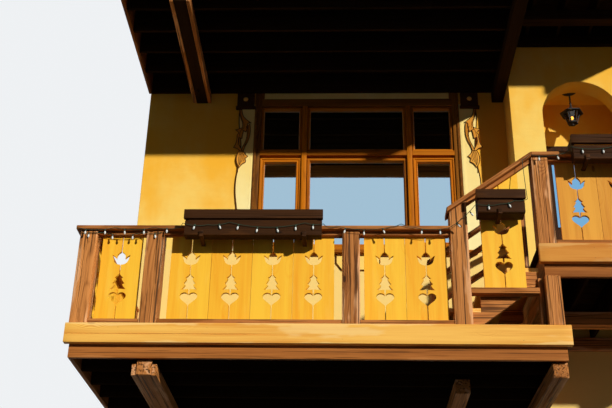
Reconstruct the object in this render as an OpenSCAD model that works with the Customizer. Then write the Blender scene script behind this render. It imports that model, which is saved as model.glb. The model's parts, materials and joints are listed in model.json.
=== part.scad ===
// Balcony bay of an alpine chalet. A stuccoed wall with a three-light window carries a timber
// balcony on cantilever beams, with sawn posts and cut-out railing boards. A short flight climbs
// to a gallery bay in front of an arched recess, and the floor of the storey above roofs both.
// Flower boxes hang on the railings, and strings of small lights run along them.
// Millimetres, +X right, +Y into the house, +Z up. The origin lies on the back face of the wall,
// below the middle of the balcony, level with the top of its deck.

/* [Balcony] */
// Length of the balcony's front edge
balcony_w = 4514; // [4480:2:4560]
// Distance from the back of the wall to the front edge of the decks
reach = 2360; // [2300:5:2420]
// Height of the handrails above their decks
rail_h = 970; // [940:5:1000]
// Width and depth of the sawn posts
post_w = 166; // [150:1:170]
// Width of one railing board with its joint
board_w = 191; // [186:1:192]

/* [Storeys] */
// Height from one balcony deck to the next
storey_h = 4192; // [4160:4:4240]
// Height of the gallery deck above the balcony deck
gallery_z = 800; // [780:4:820]
// Height of the upper gallery deck above the upper balcony deck
upper_step = 520; // [500:4:540]

/* [House wall] */
// Thickness of the wall
wall_t = 240; // [220:5:260]
// How far the pier at the gallery stands out from the wall
pier_out = 420; // [400:5:440]
// Width of the window opening
window_w = 2606; // [2560:2:2620]
// Height of the window opening
window_h = 2086; // [2000:2:2090]
// Radius of the arch over the recess
arch_r = 455; // [430:5:470]

/* [Hidden] */

// Colours as the photo shows them
plaster = "#e9b95a";
cream = "#f2dfa6";
golden = "#f0b13a";
honey = "#dda35a";
weathered = "#9a6a44";
reddish = "#a9683c";
dark_brown = "#4a2d1f";
soffit = "#4b3626";
window_wood = "#a8682c";
iron = "#26221f";

// Deck construction
plank_t = 40;
plank_pitch = 146;
plank_gap = 5;
joist_h = 272;
joist_t = 38;
joist_pitch = 400;
deck_drop = plank_t + joist_h;
fascia_t = 61;
fascia_h = 188;
rim_inset = 43;
bearer = 140;
cheek_t = 42;
cheek_h = 106;
bearer_back = 110;
pocket = 160;
cross_y = -1450;
upper_cross_y = -1215;
ledger_t = 60;

// Planes along Y, from the street to the house
front = -reach;
rim_y = front + fascia_t;
post_y = front + 20;
post_back = post_y + post_w;
rail_y = post_y + 25;
rail_t = 45;
panel_y = rail_y + rail_t;
panel_t = 28;
cap_y = post_y - 35;
cap_d = 210;
wall_y = -wall_t;
pier_y = wall_y - pier_out;

// Places along X
half_w = balcony_w / 2;
corner_x = -half_w + 21;
second_x = corner_x + 630;
middle_x = second_x + 1836;
stair_x = middle_x + 1005;
gallery_x = 2044;
gallery_bay = 1836;
gallery_end = gallery_x + gallery_bay + post_w;
gallery_left = gallery_x - 4;
gallery_right = gallery_end + 4;
wall_left = -2190;
pier_left = 2217;
pier_right = gallery_end;
arch_x = (gallery_x + gallery_end) / 2;
bearer_x = [-1530, pier_left - bearer / 2];
upper_bearer_x = pier_left + bearer / 2;
gallery_bearer_x = gallery_end - 98;
middle_bearer_x = 1343;
middle_bearer_y = -1770;

// Heights
wall_foot = -760;
pier_top = storey_h + upper_step;
springing = gallery_z + 2500;
recess_top = springing + arch_r + 45;
cap_t = 38;
top_rail_h = 35;
bottom_rail_h = 50;
cap_z = rail_h - cap_t;
top_rail_z = cap_z - top_rail_h;

// Window
win_z = 1690;
win_x = 408;
win_frame = 60;
win_depth = 90;
frame_y = -210;
mullion_w = 110;
mullion_x = 638;
transom_h = 130;
transom_z = win_z + 1230;
sash_w = 50;
sash_t = 50;
pane_t = 8;
sash_gap = 4;
stop_w = 16;
proud = 14;
band_w = 160;
relief = 14;

// Stair: four risers, the last one onto the gallery deck
risers = 4;
riser = gallery_z / risers;
going = 275;
stair_foot_x = gallery_left - going * (risers - 1);
pitch = riser / going;
pitch_angle = atan(pitch);
stringer_t = 45;
stringer_y = panel_y + panel_t + 2;
stair_inner_y = stringer_y + 940;
tread_t = 40;

// Railing board cut-outs, heights above the foot of the board
slit_w = 9;
joint = 3;
heart_z = 146;
heart_h = 136;
heart_w = 164;
tree_z = 314;
tulip_z = 558;

// Flower boxes: front plane, board thickness and the deeper lap of the upper front board
box_y = -2480;
box_wall = 22;
lap_h = 95;
lap_out = 20;
box_gap = 14;

// Strings of small lights: diameter of the wire, distance between bulbs, sag of a span as a part
// of its length, and how far the hooks stand out in front of the timber
wire_d = 6;
bulb_pitch = 185;
sag = 0.07;
hook_out = 11;
// Points that the long string is held at or led round: along the caps and the three boxes
cap_hooks = [[-2262, -2386, 938], [-1900, -2386, 938], [-1530, -2386, 940], [-1290, -2386, 938],
    [-1246, -2494, 930], [-1010, -2491, 915], [-810, -2491, 942], [-110, -2491, 936],
    [36, -2491, 922], [58, -2494, 925], [110, -2386, 940], [180, -2386, 955], [690, -2386, 950],
    [780, -2388, 978], [890, -2386, 945], [1222, -2386, 940], [1470, -2494, 1132],
    [1700, -2491, 1135], [1830, -2491, 1170], [1915, -2491, 1174], [1946, -2494, 1185],
    [1952, -2386, 1668], [2030, -2386, 1724], [2370, -2386, 1745], [2408, -2494, 1748],
    [2800, -2491, 1752], [3250, -2491, 1755], [3684, -2491, 1750], [3714, -2494, 1748],
    [3760, -2386, 1745], [4050, -2386, 1742]];
// Those of the short string, on two posts and on the rail between them
rail_hooks = [[-2215, -2351, 912], [-2085, -2351, 905], [-2030, -2326, 915], [-1640, -2326, 915],
    [-1595, -2351, 898], [-1460, -2351, 905]];

// A box given by its ranges along X, Y and Z
module block(x, y, z)
    translate([x[0], y[0], z[0]]) cube([x[1] - x[0], y[1] - y[0], z[1] - z[0]]);

// An outline drawn in X and Z, standing from y to y + t
module upright(y, t)
    translate([0, y + t, 0]) rotate([90, 0, 0]) linear_extrude(t) children();

// An outline drawn in Y and Z, standing from x to x + t
module crosswise(x, t)
    translate([x, 0, 0]) rotate([90, 0, 90]) linear_extrude(t) children();

// A square section with eased edges
module eased_square(a, b, ease)
    polygon([[ease, 0], [a - ease, 0], [a, ease], [a, b - ease],
        [a - ease, b], [ease, b], [0, b - ease], [0, ease]]);

// A sawn post with eased edges, standing on z
module post(x, z, h, w = post_w)
    translate([x, post_y, z]) linear_extrude(h) eased_square(w, post_w, 7);

// Heart with its tip at the foot
module heart(w, h) {
    steps = 32;
    polygon([for (i = [0:steps - 1]) let (t = 360 * i / steps)
        [w / 2 * pow(sin(t), 3),
         h * (17 + 13 * cos(t) - 5 * cos(2 * t) - 2 * cos(3 * t) - cos(4 * t)) / 29.2]]);
}

// Points of a smooth bend from a to c that heads for b, without the last one
function bend(a, b, c, count) = [for (i = [0:count - 1]) let (t = i / count)
    (1 - t) * (1 - t) * a + 2 * t * (1 - t) * b + t * t * c];

// An outline given by its right half, from its foot to its head
module both_sides(half)
    polygon(concat(half, [for (i = [len(half) - 1:-1:0]) if (half[i][0] > 0)
        [-half[i][0], half[i][1]]]));

// Fir tree of three tiers, with the stem that joins it to the heart
module fir_tree()
    both_sides(concat([[8, -34], [8, 0]], bend([74, -4], [40, 24], [30, 60], 4),
        bend([56, 56], [28, 88], [20, 118], 4), bend([40, 114], [10, 132], [0, 162], 4),
        [[0, 162]]));

// Tulip of three petals on a round foot
module tulip()
    both_sides(concat(bend([0, 0], [56, 0], [70, 46], 6), bend([70, 46], [74, 72], [86, 100], 4),
        bend([86, 100], [58, 88], [40, 62], 4), bend([40, 62], [50, 104], [0, 136], 6),
        [[0, 136]]));

// What is sawn out of a pair of boards, half from each
module cutout(h) {
    translate([-slit_w / 2, -1]) square([slit_w, h + 2]);
    translate([0, heart_z]) heart(heart_w, heart_h);
    translate([0, tree_z]) fir_tree();
    translate([0, tulip_z]) tulip();
}

// Outline of railing boards side by side from x = 0, of which each pair shares a cut-out
module board_row(count, h) {
    for (i = [0:count - 1])
        difference() {
            translate([i * board_w + joint / 2, 0]) square([board_w - joint, h]);
            if (floor(i / 2) * 2 + 1 < count)
                translate([(floor(i / 2) * 2 + 1) * board_w, 0]) cutout(h);
        }
}

// Railing boards centred between two posts, standing on the bottom rail
module board_panel(x0, x1, count, z)
    translate([(x0 + x1 - count * board_w) / 2, 0, z + bottom_rail_h])
        upright(panel_y, panel_t) board_row(count, cap_z - bottom_rail_h);

// Balcony planks, which run back to the wall; the last one is notched round the pier
module planks_to_wall(z) {
    count = round(balcony_w / plank_pitch);
    step = balcony_w / count;
    for (i = [0:count - 1])
        difference() {
            block([-half_w + i * step + plank_gap / 2, -half_w + (i + 1) * step - plank_gap / 2],
                [rim_y, wall_y], [z - plank_t, z]);
            block([pier_left, pier_right], [pier_y, wall_y + 1], [z - plank_t - 1, z + 1]);
        }
}

// Gallery planks, which run along the pier
module planks_along(z) {
    count = round((pier_y - rim_y) / plank_pitch);
    step = (pier_y - rim_y) / count;
    for (i = [0:count - 1])
        block([gallery_left, gallery_right], [rim_y + i * step + (i == 0 ? 0 : plank_gap / 2),
            rim_y + (i + 1) * step - (i == count - 1 ? 0 : plank_gap / 2)], [z - plank_t, z]);
}

// Front fascia of a deck
module fascia(x0, x1, z)
    block([x0, x1], [front, rim_y], [z - fascia_h, z]);

// Front rim and two side rims under a deck, the left one and the right one ending at y_ends
module rims(x0, x1, y_ends, z) {
    height = [z - deck_drop, z - plank_t];
    sides = [x0 + rim_inset, x1 - rim_inset - joist_t];
    block([x0 + rim_inset, x1 - rim_inset], [rim_y, rim_y + joist_t], height);
    for (i = [0, 1])
        block([sides[i], sides[i] + joist_t], [rim_y + joist_t, y_ends[i]], height);
}

// Joists that run along the wall, the last one fixed to it
module joists_along(x0, x1, z) {
    ends = [x0 + rim_inset + joist_t, x1 - rim_inset - joist_t];
    for (i = [1:4])
        block(ends, [wall_y - 60 - i * joist_pitch - joist_t, wall_y - 60 - i * joist_pitch],
            [z - deck_drop, z - plank_t]);
    block(ends, [wall_y - joist_t, wall_y], [z - deck_drop, z - plank_t]);
}

// Joists that run out over a gallery's beams from y_back at the pier
module joists_out(x0, x1, z, y_back) {
    count = 5;
    span = x1 - x0 - 2 * rim_inset - joist_t;
    for (i = [1:count - 1])
        translate([x0 + rim_inset + i * span / count, 0, 0])
            block([0, joist_t], [rim_y + joist_t, y_back], [z - deck_drop, z - plank_t]);
}

// A cantilever beam that enters the wall
module cantilever(x, y_end, z, y_wall = wall_y)
    block([x - bearer / 2, x + bearer / 2], [y_end, y_wall + pocket],
        [z - deck_drop - bearer, z - deck_drop]);

// Boards fixed to both sides of a cantilever beam
module cheeks(x, z)
    for (side = [-bearer / 2 - cheek_t, bearer / 2])
        block([x + side, x + side + cheek_t], [front + bearer_back + 15, wall_y],
            [z - deck_drop - bearer, z - deck_drop - bearer + cheek_h]);

// Beams under a gallery deck: two cantilevers with a cross beam at y_cross and a ledger between
// them. The left one starts at y_end and enters the masonry whose face is y_wall.
module gallery_frame(z, x_left, y_end, y_wall, y_cross) {
    between = [x_left + bearer / 2, gallery_bearer_x - bearer / 2];
    low = [z - deck_drop - bearer, z - deck_drop];
    cantilever(x_left, y_end, z, y_wall);
    cantilever(gallery_bearer_x, front + bearer_back, z, pier_y);
    block(between, [y_cross, y_cross + bearer], low);
    block(between, [pier_y - ledger_t, pier_y], low);
}

// Section of a flower box in Y and Z, drawn in by wall. One with a step rests on the cap, on
// which it reaches back to y_back.
function box_section(y_back, step, h, wall) = concat([[box_y + wall, wall]],
    step > 0
        ? [[cap_y - wall, wall], [cap_y - wall, step + wall], [y_back - wall, step + wall]]
        : [[y_back - wall, wall]],
    [[y_back - wall, wall > 0 ? h + 1 : h], [box_y + wall, wall > 0 ? h + 1 : h]]);

// A flower box of boards. Its upper front board laps out over a gap above the lower one, and arms
// under it hook round its foot and end at the railing boards.
module flower_box(x, z, length, h, arms, y_back, step = 0) {
    lap = [z + h - lap_h, z + h];
    difference() {
        union() {
            translate([0, 0, z]) crosswise(x, length) polygon(box_section(y_back, step, h, 0));
            block([x - 12, x + length + 12], [box_y - lap_out, cap_y], lap);
        }
        translate([0, 0, z]) crosswise(x + box_wall, length - 2 * box_wall)
            polygon(box_section(y_back, step, h, box_wall));
        block([x + box_wall, x + length - box_wall], [box_y - 1, box_y + box_wall + 1],
            [lap[0] - box_gap, lap[0]]);
    }
    for (a = arms)
        crosswise(x + a - 20, 40) polygon([[box_y - 18, z - 22], [panel_y, z - 22], [panel_y, z],
            [box_y, z], [box_y, z + 38], [box_y - 18, z + 38]]);
}

module house_wall() {
    color(plaster) difference() {
        block([wall_left, pier_left], [wall_y, 0], [wall_foot, storey_h]);
        block([win_x - window_w / 2, win_x + window_w / 2], [wall_y - 1, 1],
            [win_z, win_z + window_h]);
        for (x = bearer_x, z = [0, storey_h])
            cantilever(x, wall_y - 1, z);
        cantilever(middle_bearer_x, wall_y - 1, 0);
        cantilever(bearer_x[1], wall_y - 1, gallery_z);
    }
}

module gallery_pier() {
    front_t = 240;
    back_t = 80;
    recess = [arch_x - 640, arch_x + 640];
    door = [arch_x - 480, arch_x + 480];
    color(plaster) difference() {
        block([pier_left, pier_right], [pier_y, 0], [wall_foot, pier_top]);
        upright(pier_y - 1, front_t + 2) {
            translate([arch_x - arch_r, gallery_z]) square([2 * arch_r, springing - gallery_z]);
            translate([arch_x, springing]) circle(arch_r, $fn = 72);
        }
        block(recess, [pier_y + front_t, -back_t], [gallery_z, recess_top]);
        block(door, [-back_t - 1, 1], [gallery_z, gallery_z + 2400]);
        for (z = [gallery_z, pier_top])
            cantilever(gallery_bearer_x, pier_y - 1, z, pier_y);
        cantilever(upper_bearer_x, pier_y - 1, pier_top, pier_y);
    }
}

module gallery_door() {
    half = 480;
    frame_w = 70;
    head = gallery_z + 2400;
    color(dark_brown) {
        upright(-80, 80) difference() {
            translate([arch_x - half, gallery_z]) square([2 * half, 2400]);
            translate([arch_x - half + frame_w, gallery_z - 1])
                square([2 * (half - frame_w), 2401 - frame_w]);
        }
        difference() {
            block([arch_x - half + frame_w + 4, arch_x + half - frame_w - 4], [-62, -16],
                [gallery_z, head - frame_w - 4]);
            for (z = [gallery_z + 180, gallery_z + 1290])
                block([arch_x - half + frame_w + 124, arch_x + half - frame_w - 124],
                    [-63, -50], [z, z + 900]);
        }
    }
}

// How far the glass lies inside its light
function glass_inset(upper) = upper ? sash_w * 0.7 : sash_w;

// Outline of one light of the window: column -1, 0 or 1, upper or lower row
module light(column, upper, inset) {
    inner = [mullion_x - mullion_w / 2, mullion_x + mullion_w / 2];
    x0 = column == 0 ? -inner[0] : inner[1];
    x1 = column == 0 ? inner[0] : window_w / 2 - win_frame;
    z0 = upper ? transom_z + transom_h : win_z + win_frame;
    z1 = upper ? win_z + window_h - win_frame : transom_z;
    translate([win_x, 0]) mirror([column < 0 ? 1 : 0, 0])
        translate([x0 + inset, z0 + inset]) square([x1 - x0 - 2 * inset, z1 - z0 - 2 * inset]);
}

// Frame with a stop behind each light, mullions that stand proud, a drip nose on the transom
// between them, and the sill
module window_frame() {
    x0 = win_x - window_w / 2;
    nose = [win_x - mullion_x + mullion_w / 2, win_x + mullion_x - mullion_w / 2];
    ends = [x0 + win_frame, x0 + window_w - win_frame];
    color(window_wood) {
        upright(frame_y, sash_t) difference() {
            translate([x0, win_z]) square([window_w, window_h]);
            for (column = [-1:1], upper = [false, true]) light(column, upper, 0);
        }
        upright(frame_y + sash_t, win_depth - sash_t) difference() {
            translate([x0, win_z]) square([window_w, window_h]);
            for (column = [-1:1], upper = [false, true]) light(column, upper, stop_w);
        }
        for (side = [-1, 1])
            block([win_x + side * mullion_x - mullion_w / 2, win_x + side * mullion_x + mullion_w / 2],
                [frame_y - proud, frame_y], [win_z + win_frame, win_z + window_h - win_frame]);
        for (part = [nose, [ends[0], nose[0] - mullion_w], [nose[1] + mullion_w, ends[1]]])
            crosswise(part[0], part[1] - part[0])
                polygon([[frame_y, transom_z + 6], [frame_y, transom_z + 52],
                    [frame_y - 26, transom_z + 40], [frame_y - 26, transom_z + 6]]);
        crosswise(x0 - 66, window_w + 132)
            polygon([[wall_y, win_z + 8], [wall_y - 72, win_z - 6], [wall_y - 72, win_z - 36],
                [wall_y, win_z - 36]]);
    }
}

// Sashes stand a little clear of the frame and rest on its stops
module window_sashes()
    color(window_wood) for (column = [-1:1], upper = [false, true])
        upright(frame_y + 6, sash_t - 6) difference() {
            light(column, upper, sash_gap);
            light(column, upper, glass_inset(upper));
        }

module window_glass()
    color("#9fb6c9", 0.5) for (column = [-1:1], upper = [false, true])
        upright(frame_y + 28, pane_t) light(column, upper, glass_inset(upper));

// Raised plaster bands beside the window, with a curling outer edge, and the pendant below it
module window_surround() {
    x0 = window_w / 2;
    top = win_z + window_h - 140;
    steps = 24;
    curl = 22;
    outer = [for (i = [0:steps]) let (t = i / steps)
        [x0 + band_w - curl + curl * cos(720 * t + 40), win_z + (top - win_z) * t]];
    pendant = [[250, win_z - 36], [-250, win_z - 36], [-250, win_z - 146], [-184, win_z - 233],
        [184, win_z - 233], [250, win_z - 146]];
    color(cream) upright(wall_y - relief, relief) translate([win_x, 0]) {
        for (side = [0, 1])
            mirror([side, 0]) polygon(concat([[x0, win_z + 8]], outer, [[x0, top]]));
        polygon(pendant);
    }
}

// The right-hand scroll, from the window's edge and the foot of its head block: a crook that
// curls back to a leaf, an outer strand and an inner one with its leaves, and the fan they end in
module leafy_scroll() {
    polygon(concat(bend([160, 0], [152, -110], [122, -170], 5), bend([122, -170], [98, -230],
        [118, -300], 4), bend([118, -300], [84, -318], [66, -336], 2), bend([66, -336], [36, -270],
        [52, -222], 4), bend([52, -222], [30, -190], [6, -204], 4), bend([6, -204], [66, -160],
        [104, -110], 4), bend([104, -110], [126, -60], [130, 0], 4), [[130, 0]]));
    polygon(concat(bend([22, -214], [-10, -400], [62, -528], 8), bend([62, -528], [74, -560],
        [84, -604], 3), bend([84, -604], [96, -604], [108, -600], 2), bend([108, -600], [96, -540],
        [82, -520], 3), bend([82, -520], [26, -390], [62, -250], 6), [[62, -250]]));
    polygon(concat(bend([108, -270], [150, -292], [196, -302], 4), bend([196, -302], [160, -326],
        [152, -350], 3), bend([152, -350], [176, -372], [170, -400], 3), bend([170, -400],
        [172, -470], [184, -510], 4), bend([184, -510], [196, -530], [206, -556], 3),
        bend([206, -556], [160, -560], [130, -604], 4), bend([130, -604], [112, -604], [98, -604], 2),
        bend([98, -604], [124, -548], [140, -520], 3), bend([140, -520], [150, -460], [146, -410], 4),
        bend([146, -410], [130, -424], [110, -430], 2), bend([110, -430], [108, -370], [92, -310], 3),
        [[92, -310]]));
    polygon(concat(bend([84, -596], [78, -640], [24, -682], 5), bend([24, -682], [54, -700],
        [58, -720], 3), bend([58, -720], [44, -742], [52, -764], 3), bend([52, -764], [94, -776],
        [122, -838], 5), bend([122, -838], [174, -760], [164, -690], 6), bend([164, -690],
        [160, -640], [130, -596], 4), [[130, -596]]));
    polygon([[130, -800], [142, -800], [140, -905]]);
}

// Head blocks with a moulded foot and a round boss, and the scrolls that hang below them
module scroll_ornaments() {
    block_w = 215;
    block_h = 226;
    foot_h = 30;
    centre = window_w / 2 + 84;
    base = win_z + window_h - 140;
    color(reddish) for (side = [0, 1])
        translate([win_x, 0, 0]) mirror([side, 0, 0]) {
            block([centre - block_w / 2, centre + block_w / 2], [wall_y - 34, wall_y],
                [base + foot_h, base + block_h]);
            crosswise(centre - block_w / 2 - 12, block_w + 24)
                polygon([[wall_y, base], [wall_y - 38, base], [wall_y - 50, base + 12],
                    [wall_y - 50, base + foot_h], [wall_y, base + foot_h]]);
            translate([centre, wall_y - 34, base + block_h / 2 + 14]) rotate([90, 0, 0])
                cylinder(h = 16, r = 32, $fn = 48);
            translate([window_w / 2, 0, base]) upright(wall_y - relief - 10, 10) leafy_scroll();
        }
}

module deck_bearers()
    color(weathered) {
        for (x = bearer_x) cantilever(x, front + bearer_back, 0);
        cantilever(middle_bearer_x, middle_bearer_y, 0);
    }

module bearer_cheeks()
    color(weathered) for (z = [0, storey_h]) cheeks(bearer_x[0], z);

module deck_joists() color(soffit) joists_along(-half_w, half_w, 0);

module deck_rims() color(reddish) rims(-half_w, half_w, [wall_y, wall_y], 0);

module deck_fascia() color(honey) fascia(-half_w, half_w, 0);

module deck_planks() color(honey) planks_to_wall(0);

// Corner post, second post and middle post of the balcony
module front_posts()
    color(weathered) for (x = [corner_x, second_x, middle_x]) post(x, 0, cap_z);

// Underside of the sloping cap at x, which runs on from the gallery's cap at its left post
function cap_under(x) =
    gallery_z + cap_z - (cap_t / cos(pitch_angle) - cap_t) - (gallery_x - x) * pitch;

// The stair post is cut to the slope of the cap that it carries
module stair_post()
    color(weathered) intersection() {
        post(stair_x, 0, rail_h + 400);
        upright(post_y - 1, post_w + 2)
            polygon([[stair_x - 1, -1], [stair_x + post_w + 1, -1],
                [stair_x + post_w + 1, cap_under(stair_x + post_w + 1)],
                [stair_x - 1, cap_under(stair_x - 1)]]);
    }

module wall_post()
    color(weathered) translate([corner_x, wall_y - post_w, 0])
        linear_extrude(cap_z) eased_square(post_w, post_w, 7);

module narrow_panel() color(golden) board_panel(corner_x + post_w, second_x, 2, 0);

module wide_panel() color(golden) board_panel(second_x + post_w, middle_x, 8, 0);

module right_panel() color(golden) board_panel(middle_x + post_w, stair_x, 4, 0);

// Boards of the left end, nine between the corner post and the wall post
module side_panel()
    color(golden) translate([0, (post_back + wall_y - post_w - 9 * board_w) / 2, bottom_rail_h])
        crosswise(corner_x + panel_y - post_y, panel_t) board_row(9, cap_z - bottom_rail_h);

front_bays = [[corner_x + post_w, second_x], [second_x + post_w, middle_x],
    [middle_x + post_w, stair_x]];

// Bottom rails on the deck and top rails under the cap, between the posts
module balcony_rails() {
    wide = 95;
    side_bay = [post_back, wall_y - post_w];
    color(reddish) {
        for (bay = front_bays) {
            block(bay, [post_y + 10, post_y + 10 + wide], [0, bottom_rail_h]);
            block(bay, [rail_y, rail_y + rail_t], [top_rail_z, cap_z]);
        }
        block([corner_x + 10, corner_x + 10 + wide], side_bay, [0, bottom_rail_h]);
        block([corner_x + rail_y - post_y, corner_x + panel_y - post_y], side_bay,
            [top_rail_z, cap_z]);
    }
}

module handrail_cap()
    color(honey) {
        block([corner_x - 35, stair_x], [cap_y, cap_y + cap_d], [cap_z, rail_h]);
        block([corner_x - 35, corner_x - 35 + cap_d], [cap_y + cap_d, wall_y], [cap_z, rail_h]);
    }

// Outline of a stringer: sawtooth above for the treads, one slope below
module stringer(x0, x1) {
    teeth = [for (i = [0:risers - 2]) each
        [[stair_foot_x + i * going, riser * i + riser - tread_t],
         [stair_foot_x + (i + 1) * going, riser * i + riser - tread_t]]];
    depth = 232;
    intersection() {
        polygon(concat([[stair_foot_x, 0]], teeth,
            [[gallery_left, gallery_z - deck_drop], [gallery_left, gallery_z - deck_drop - 40],
             [stair_foot_x + depth, 0]]));
        translate([x0, -1]) square([x1 - x0, gallery_z + 2]);
    }
}

module stair_stringers()
    color(weathered) {
        upright(stringer_y, stringer_t) stringer(stair_x + post_w, gallery_x - 28);
        upright(stair_inner_y, stringer_t) stringer(stair_foot_x, gallery_left);
    }

// Treads lie on the sawtooth; the first is notched round the stair post
module stair_treads()
    color(honey) for (i = [0:risers - 2])
        difference() {
            block([stair_foot_x + i * going - 20, stair_foot_x + (i + 1) * going - 2],
                [stringer_y, stair_inner_y + stringer_t],
                [riser * (i + 1) - tread_t, riser * (i + 1)]);
            block([stair_x - 1, stair_x + post_w], [post_y, post_back], [-1, rail_h]);
            block([gallery_x - 28, gallery_x + post_w], [post_y, post_back], [-1, gallery_z]);
        }

stair_rail_z = 312;
stair_bottom_h = 56;

// Two railing boards that stand on a level rail and are cut to the slope of the cap
module stair_panel() {
    x0 = (stair_x + post_w + gallery_x - 2 * board_w) / 2;
    foot = stair_rail_z + stair_bottom_h;
    color(golden) upright(panel_y, panel_t) intersection() {
        translate([x0, foot]) board_row(2, 1400);
        polygon([[stair_x, 0], [gallery_x, 0], [gallery_x, cap_under(gallery_x)],
            [stair_x, cap_under(stair_x)]]);
    }
}

// Sloping cap, sloping rail below it and the level rail at the foot of the stair boards
module stair_rails() {
    low_x = stair_x - 25;
    up = cap_t / cos(pitch_angle);
    drop = top_rail_h / cos(pitch_angle);
    bays = [stair_x + post_w, gallery_x];
    color(reddish) {
        upright(cap_y, cap_d)
            polygon([[low_x, cap_under(low_x)], [gallery_x, cap_under(gallery_x)],
                [gallery_x, cap_under(gallery_x) + up], [low_x, cap_under(low_x) + up]]);
        upright(rail_y, rail_t)
            polygon([[bays[0], cap_under(bays[0]) - drop], [bays[1], cap_under(bays[1]) - drop],
                [bays[1], cap_under(bays[1])], [bays[0], cap_under(bays[0])]]);
        block([stair_x + post_w, gallery_x - 28], [post_y + 10, panel_y + panel_t],
            [stair_rail_z, stair_rail_z + stair_bottom_h]);
    }
}

// Handrail on the room side of the flight, with its two newels and the guard beside the gallery
module stair_inner_rail() {
    newel = 90;
    y0 = stair_inner_y + stringer_t;
    foot_x = stair_foot_x - newel;
    low_x = foot_x - 25;
    head_x = gallery_left + 10;
    up = cap_t / cos(pitch_angle);
    color(weathered) {
        upright(y0 - newel, newel)
            polygon([[foot_x, 0], [foot_x + newel, 0], [foot_x + newel, cap_under(foot_x + newel)],
                [foot_x, cap_under(foot_x)]]);
        block([head_x, head_x + newel], [y0 - newel, y0], [gallery_z, gallery_z + cap_z]);
        upright(y0 - newel, newel)
            polygon([[low_x, cap_under(low_x)], [gallery_x, cap_under(gallery_x)],
                [gallery_x, cap_under(gallery_x) + up], [low_x, cap_under(low_x) + up]]);
        for (drop = [240, 520])
            upright(y0 - newel / 2 - 16, 32)
                polygon([[foot_x + newel, cap_under(foot_x + newel) - drop],
                    [head_x, cap_under(head_x) - drop],
                    [head_x, cap_under(head_x) - drop + 70],
                    [foot_x + newel, cap_under(foot_x + newel) - drop + 70]]);
        block([gallery_x, head_x + newel], [y0 - newel, wall_y],
            [gallery_z + cap_z, gallery_z + rail_h]);
        for (z = [120, 430, 740])
            block([head_x + 30, head_x + 62], [y0, wall_y], [gallery_z + z, gallery_z + z + 70]);
    }
}

// Post that carries the gallery's corner, with a board set back beside it
module support_post() {
    top = gallery_z - deck_drop;
    color(weathered) {
        post(gallery_x + 26, 0, top, post_w - 24);
        block([gallery_x - 28, gallery_x + 10], [post_y + 70, post_back], [0, top]);
    }
}

module gallery_beams()
    color(weathered) gallery_frame(gallery_z, bearer_x[1], post_back, wall_y, cross_y);

module gallery_joists() color(soffit) joists_out(gallery_left, gallery_right, gallery_z, pier_y);

// Gallery deck, with a short plank beside the pier that reaches the house wall
module gallery_planks()
    color(honey) {
        planks_along(gallery_z);
        block([gallery_left, pier_left - 2], [pier_y + plank_gap, wall_y],
            [gallery_z - plank_t, gallery_z]);
    }

module gallery_edge()
    color(honey) {
        fascia(gallery_left, gallery_right, gallery_z);
        rims(gallery_left, gallery_right, [wall_y, pier_y], gallery_z);
    }

module gallery_posts()
    color(weathered) for (x = [gallery_x, gallery_x + gallery_bay]) post(x, gallery_z, cap_z);

module gallery_panel()
    color(golden) board_panel(gallery_x + post_w, gallery_x + gallery_bay, 8, gallery_z);

module gallery_rails() {
    bay = [gallery_x + post_w, gallery_x + gallery_bay];
    color(reddish) translate([0, 0, gallery_z]) {
        block(bay, [post_y + 10, post_y + 105], [0, bottom_rail_h]);
        block(bay, [rail_y, rail_y + rail_t], [top_rail_z, cap_z]);
        block([gallery_x, gallery_right + 35], [cap_y, cap_y + cap_d], [cap_z, rail_h]);
    }
}

module upper_beams()
    color(soffit) {
        for (x = bearer_x) cantilever(x, front + bearer_back, storey_h);
        gallery_frame(pier_top, upper_bearer_x, front + bearer_back, pier_y, upper_cross_y);
    }

// Joists of the upper decks, with a board on the pier that closes the gallery's bays. The joists
// end just short of it.
module upper_joists() {
    board = 22;
    gap = 2;
    color(soffit) {
        joists_along(-half_w, half_w, storey_h);
        joists_out(gallery_left, gallery_right, pier_top, pier_y - board - gap);
        block([gallery_left + rim_inset + joist_t, gallery_right - rim_inset - joist_t],
            [pier_y - board, pier_y], [pier_top - deck_drop, pier_top - plank_t]);
    }
}

module upper_planks()
    color(soffit) {
        planks_to_wall(storey_h);
        planks_along(pier_top);
    }

module upper_edge()
    color(reddish) {
        fascia(-half_w, half_w, storey_h);
        rims(-half_w, half_w, [wall_y, wall_y], storey_h);
        fascia(gallery_left, gallery_right, pier_top);
        rims(gallery_left, gallery_right, [pier_y, pier_y], pier_top);
    }

// The long boxes rest on the caps, the short one hangs on the stair's sloping rail
module long_flower_box()
    color(dark_brown) flower_box(-1228, 817, 1270, 258, [160, 1110], cap_y + 100, rail_h - 817);

module stair_flower_box() color(dark_brown) flower_box(1488, 1055, 434, 235, [200], rail_y);

module gallery_flower_box()
    color(dark_brown) flower_box(2426, gallery_z + 828, 1270, 258, [125, 1145], cap_y + 100,
        rail_h - 828);

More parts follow.
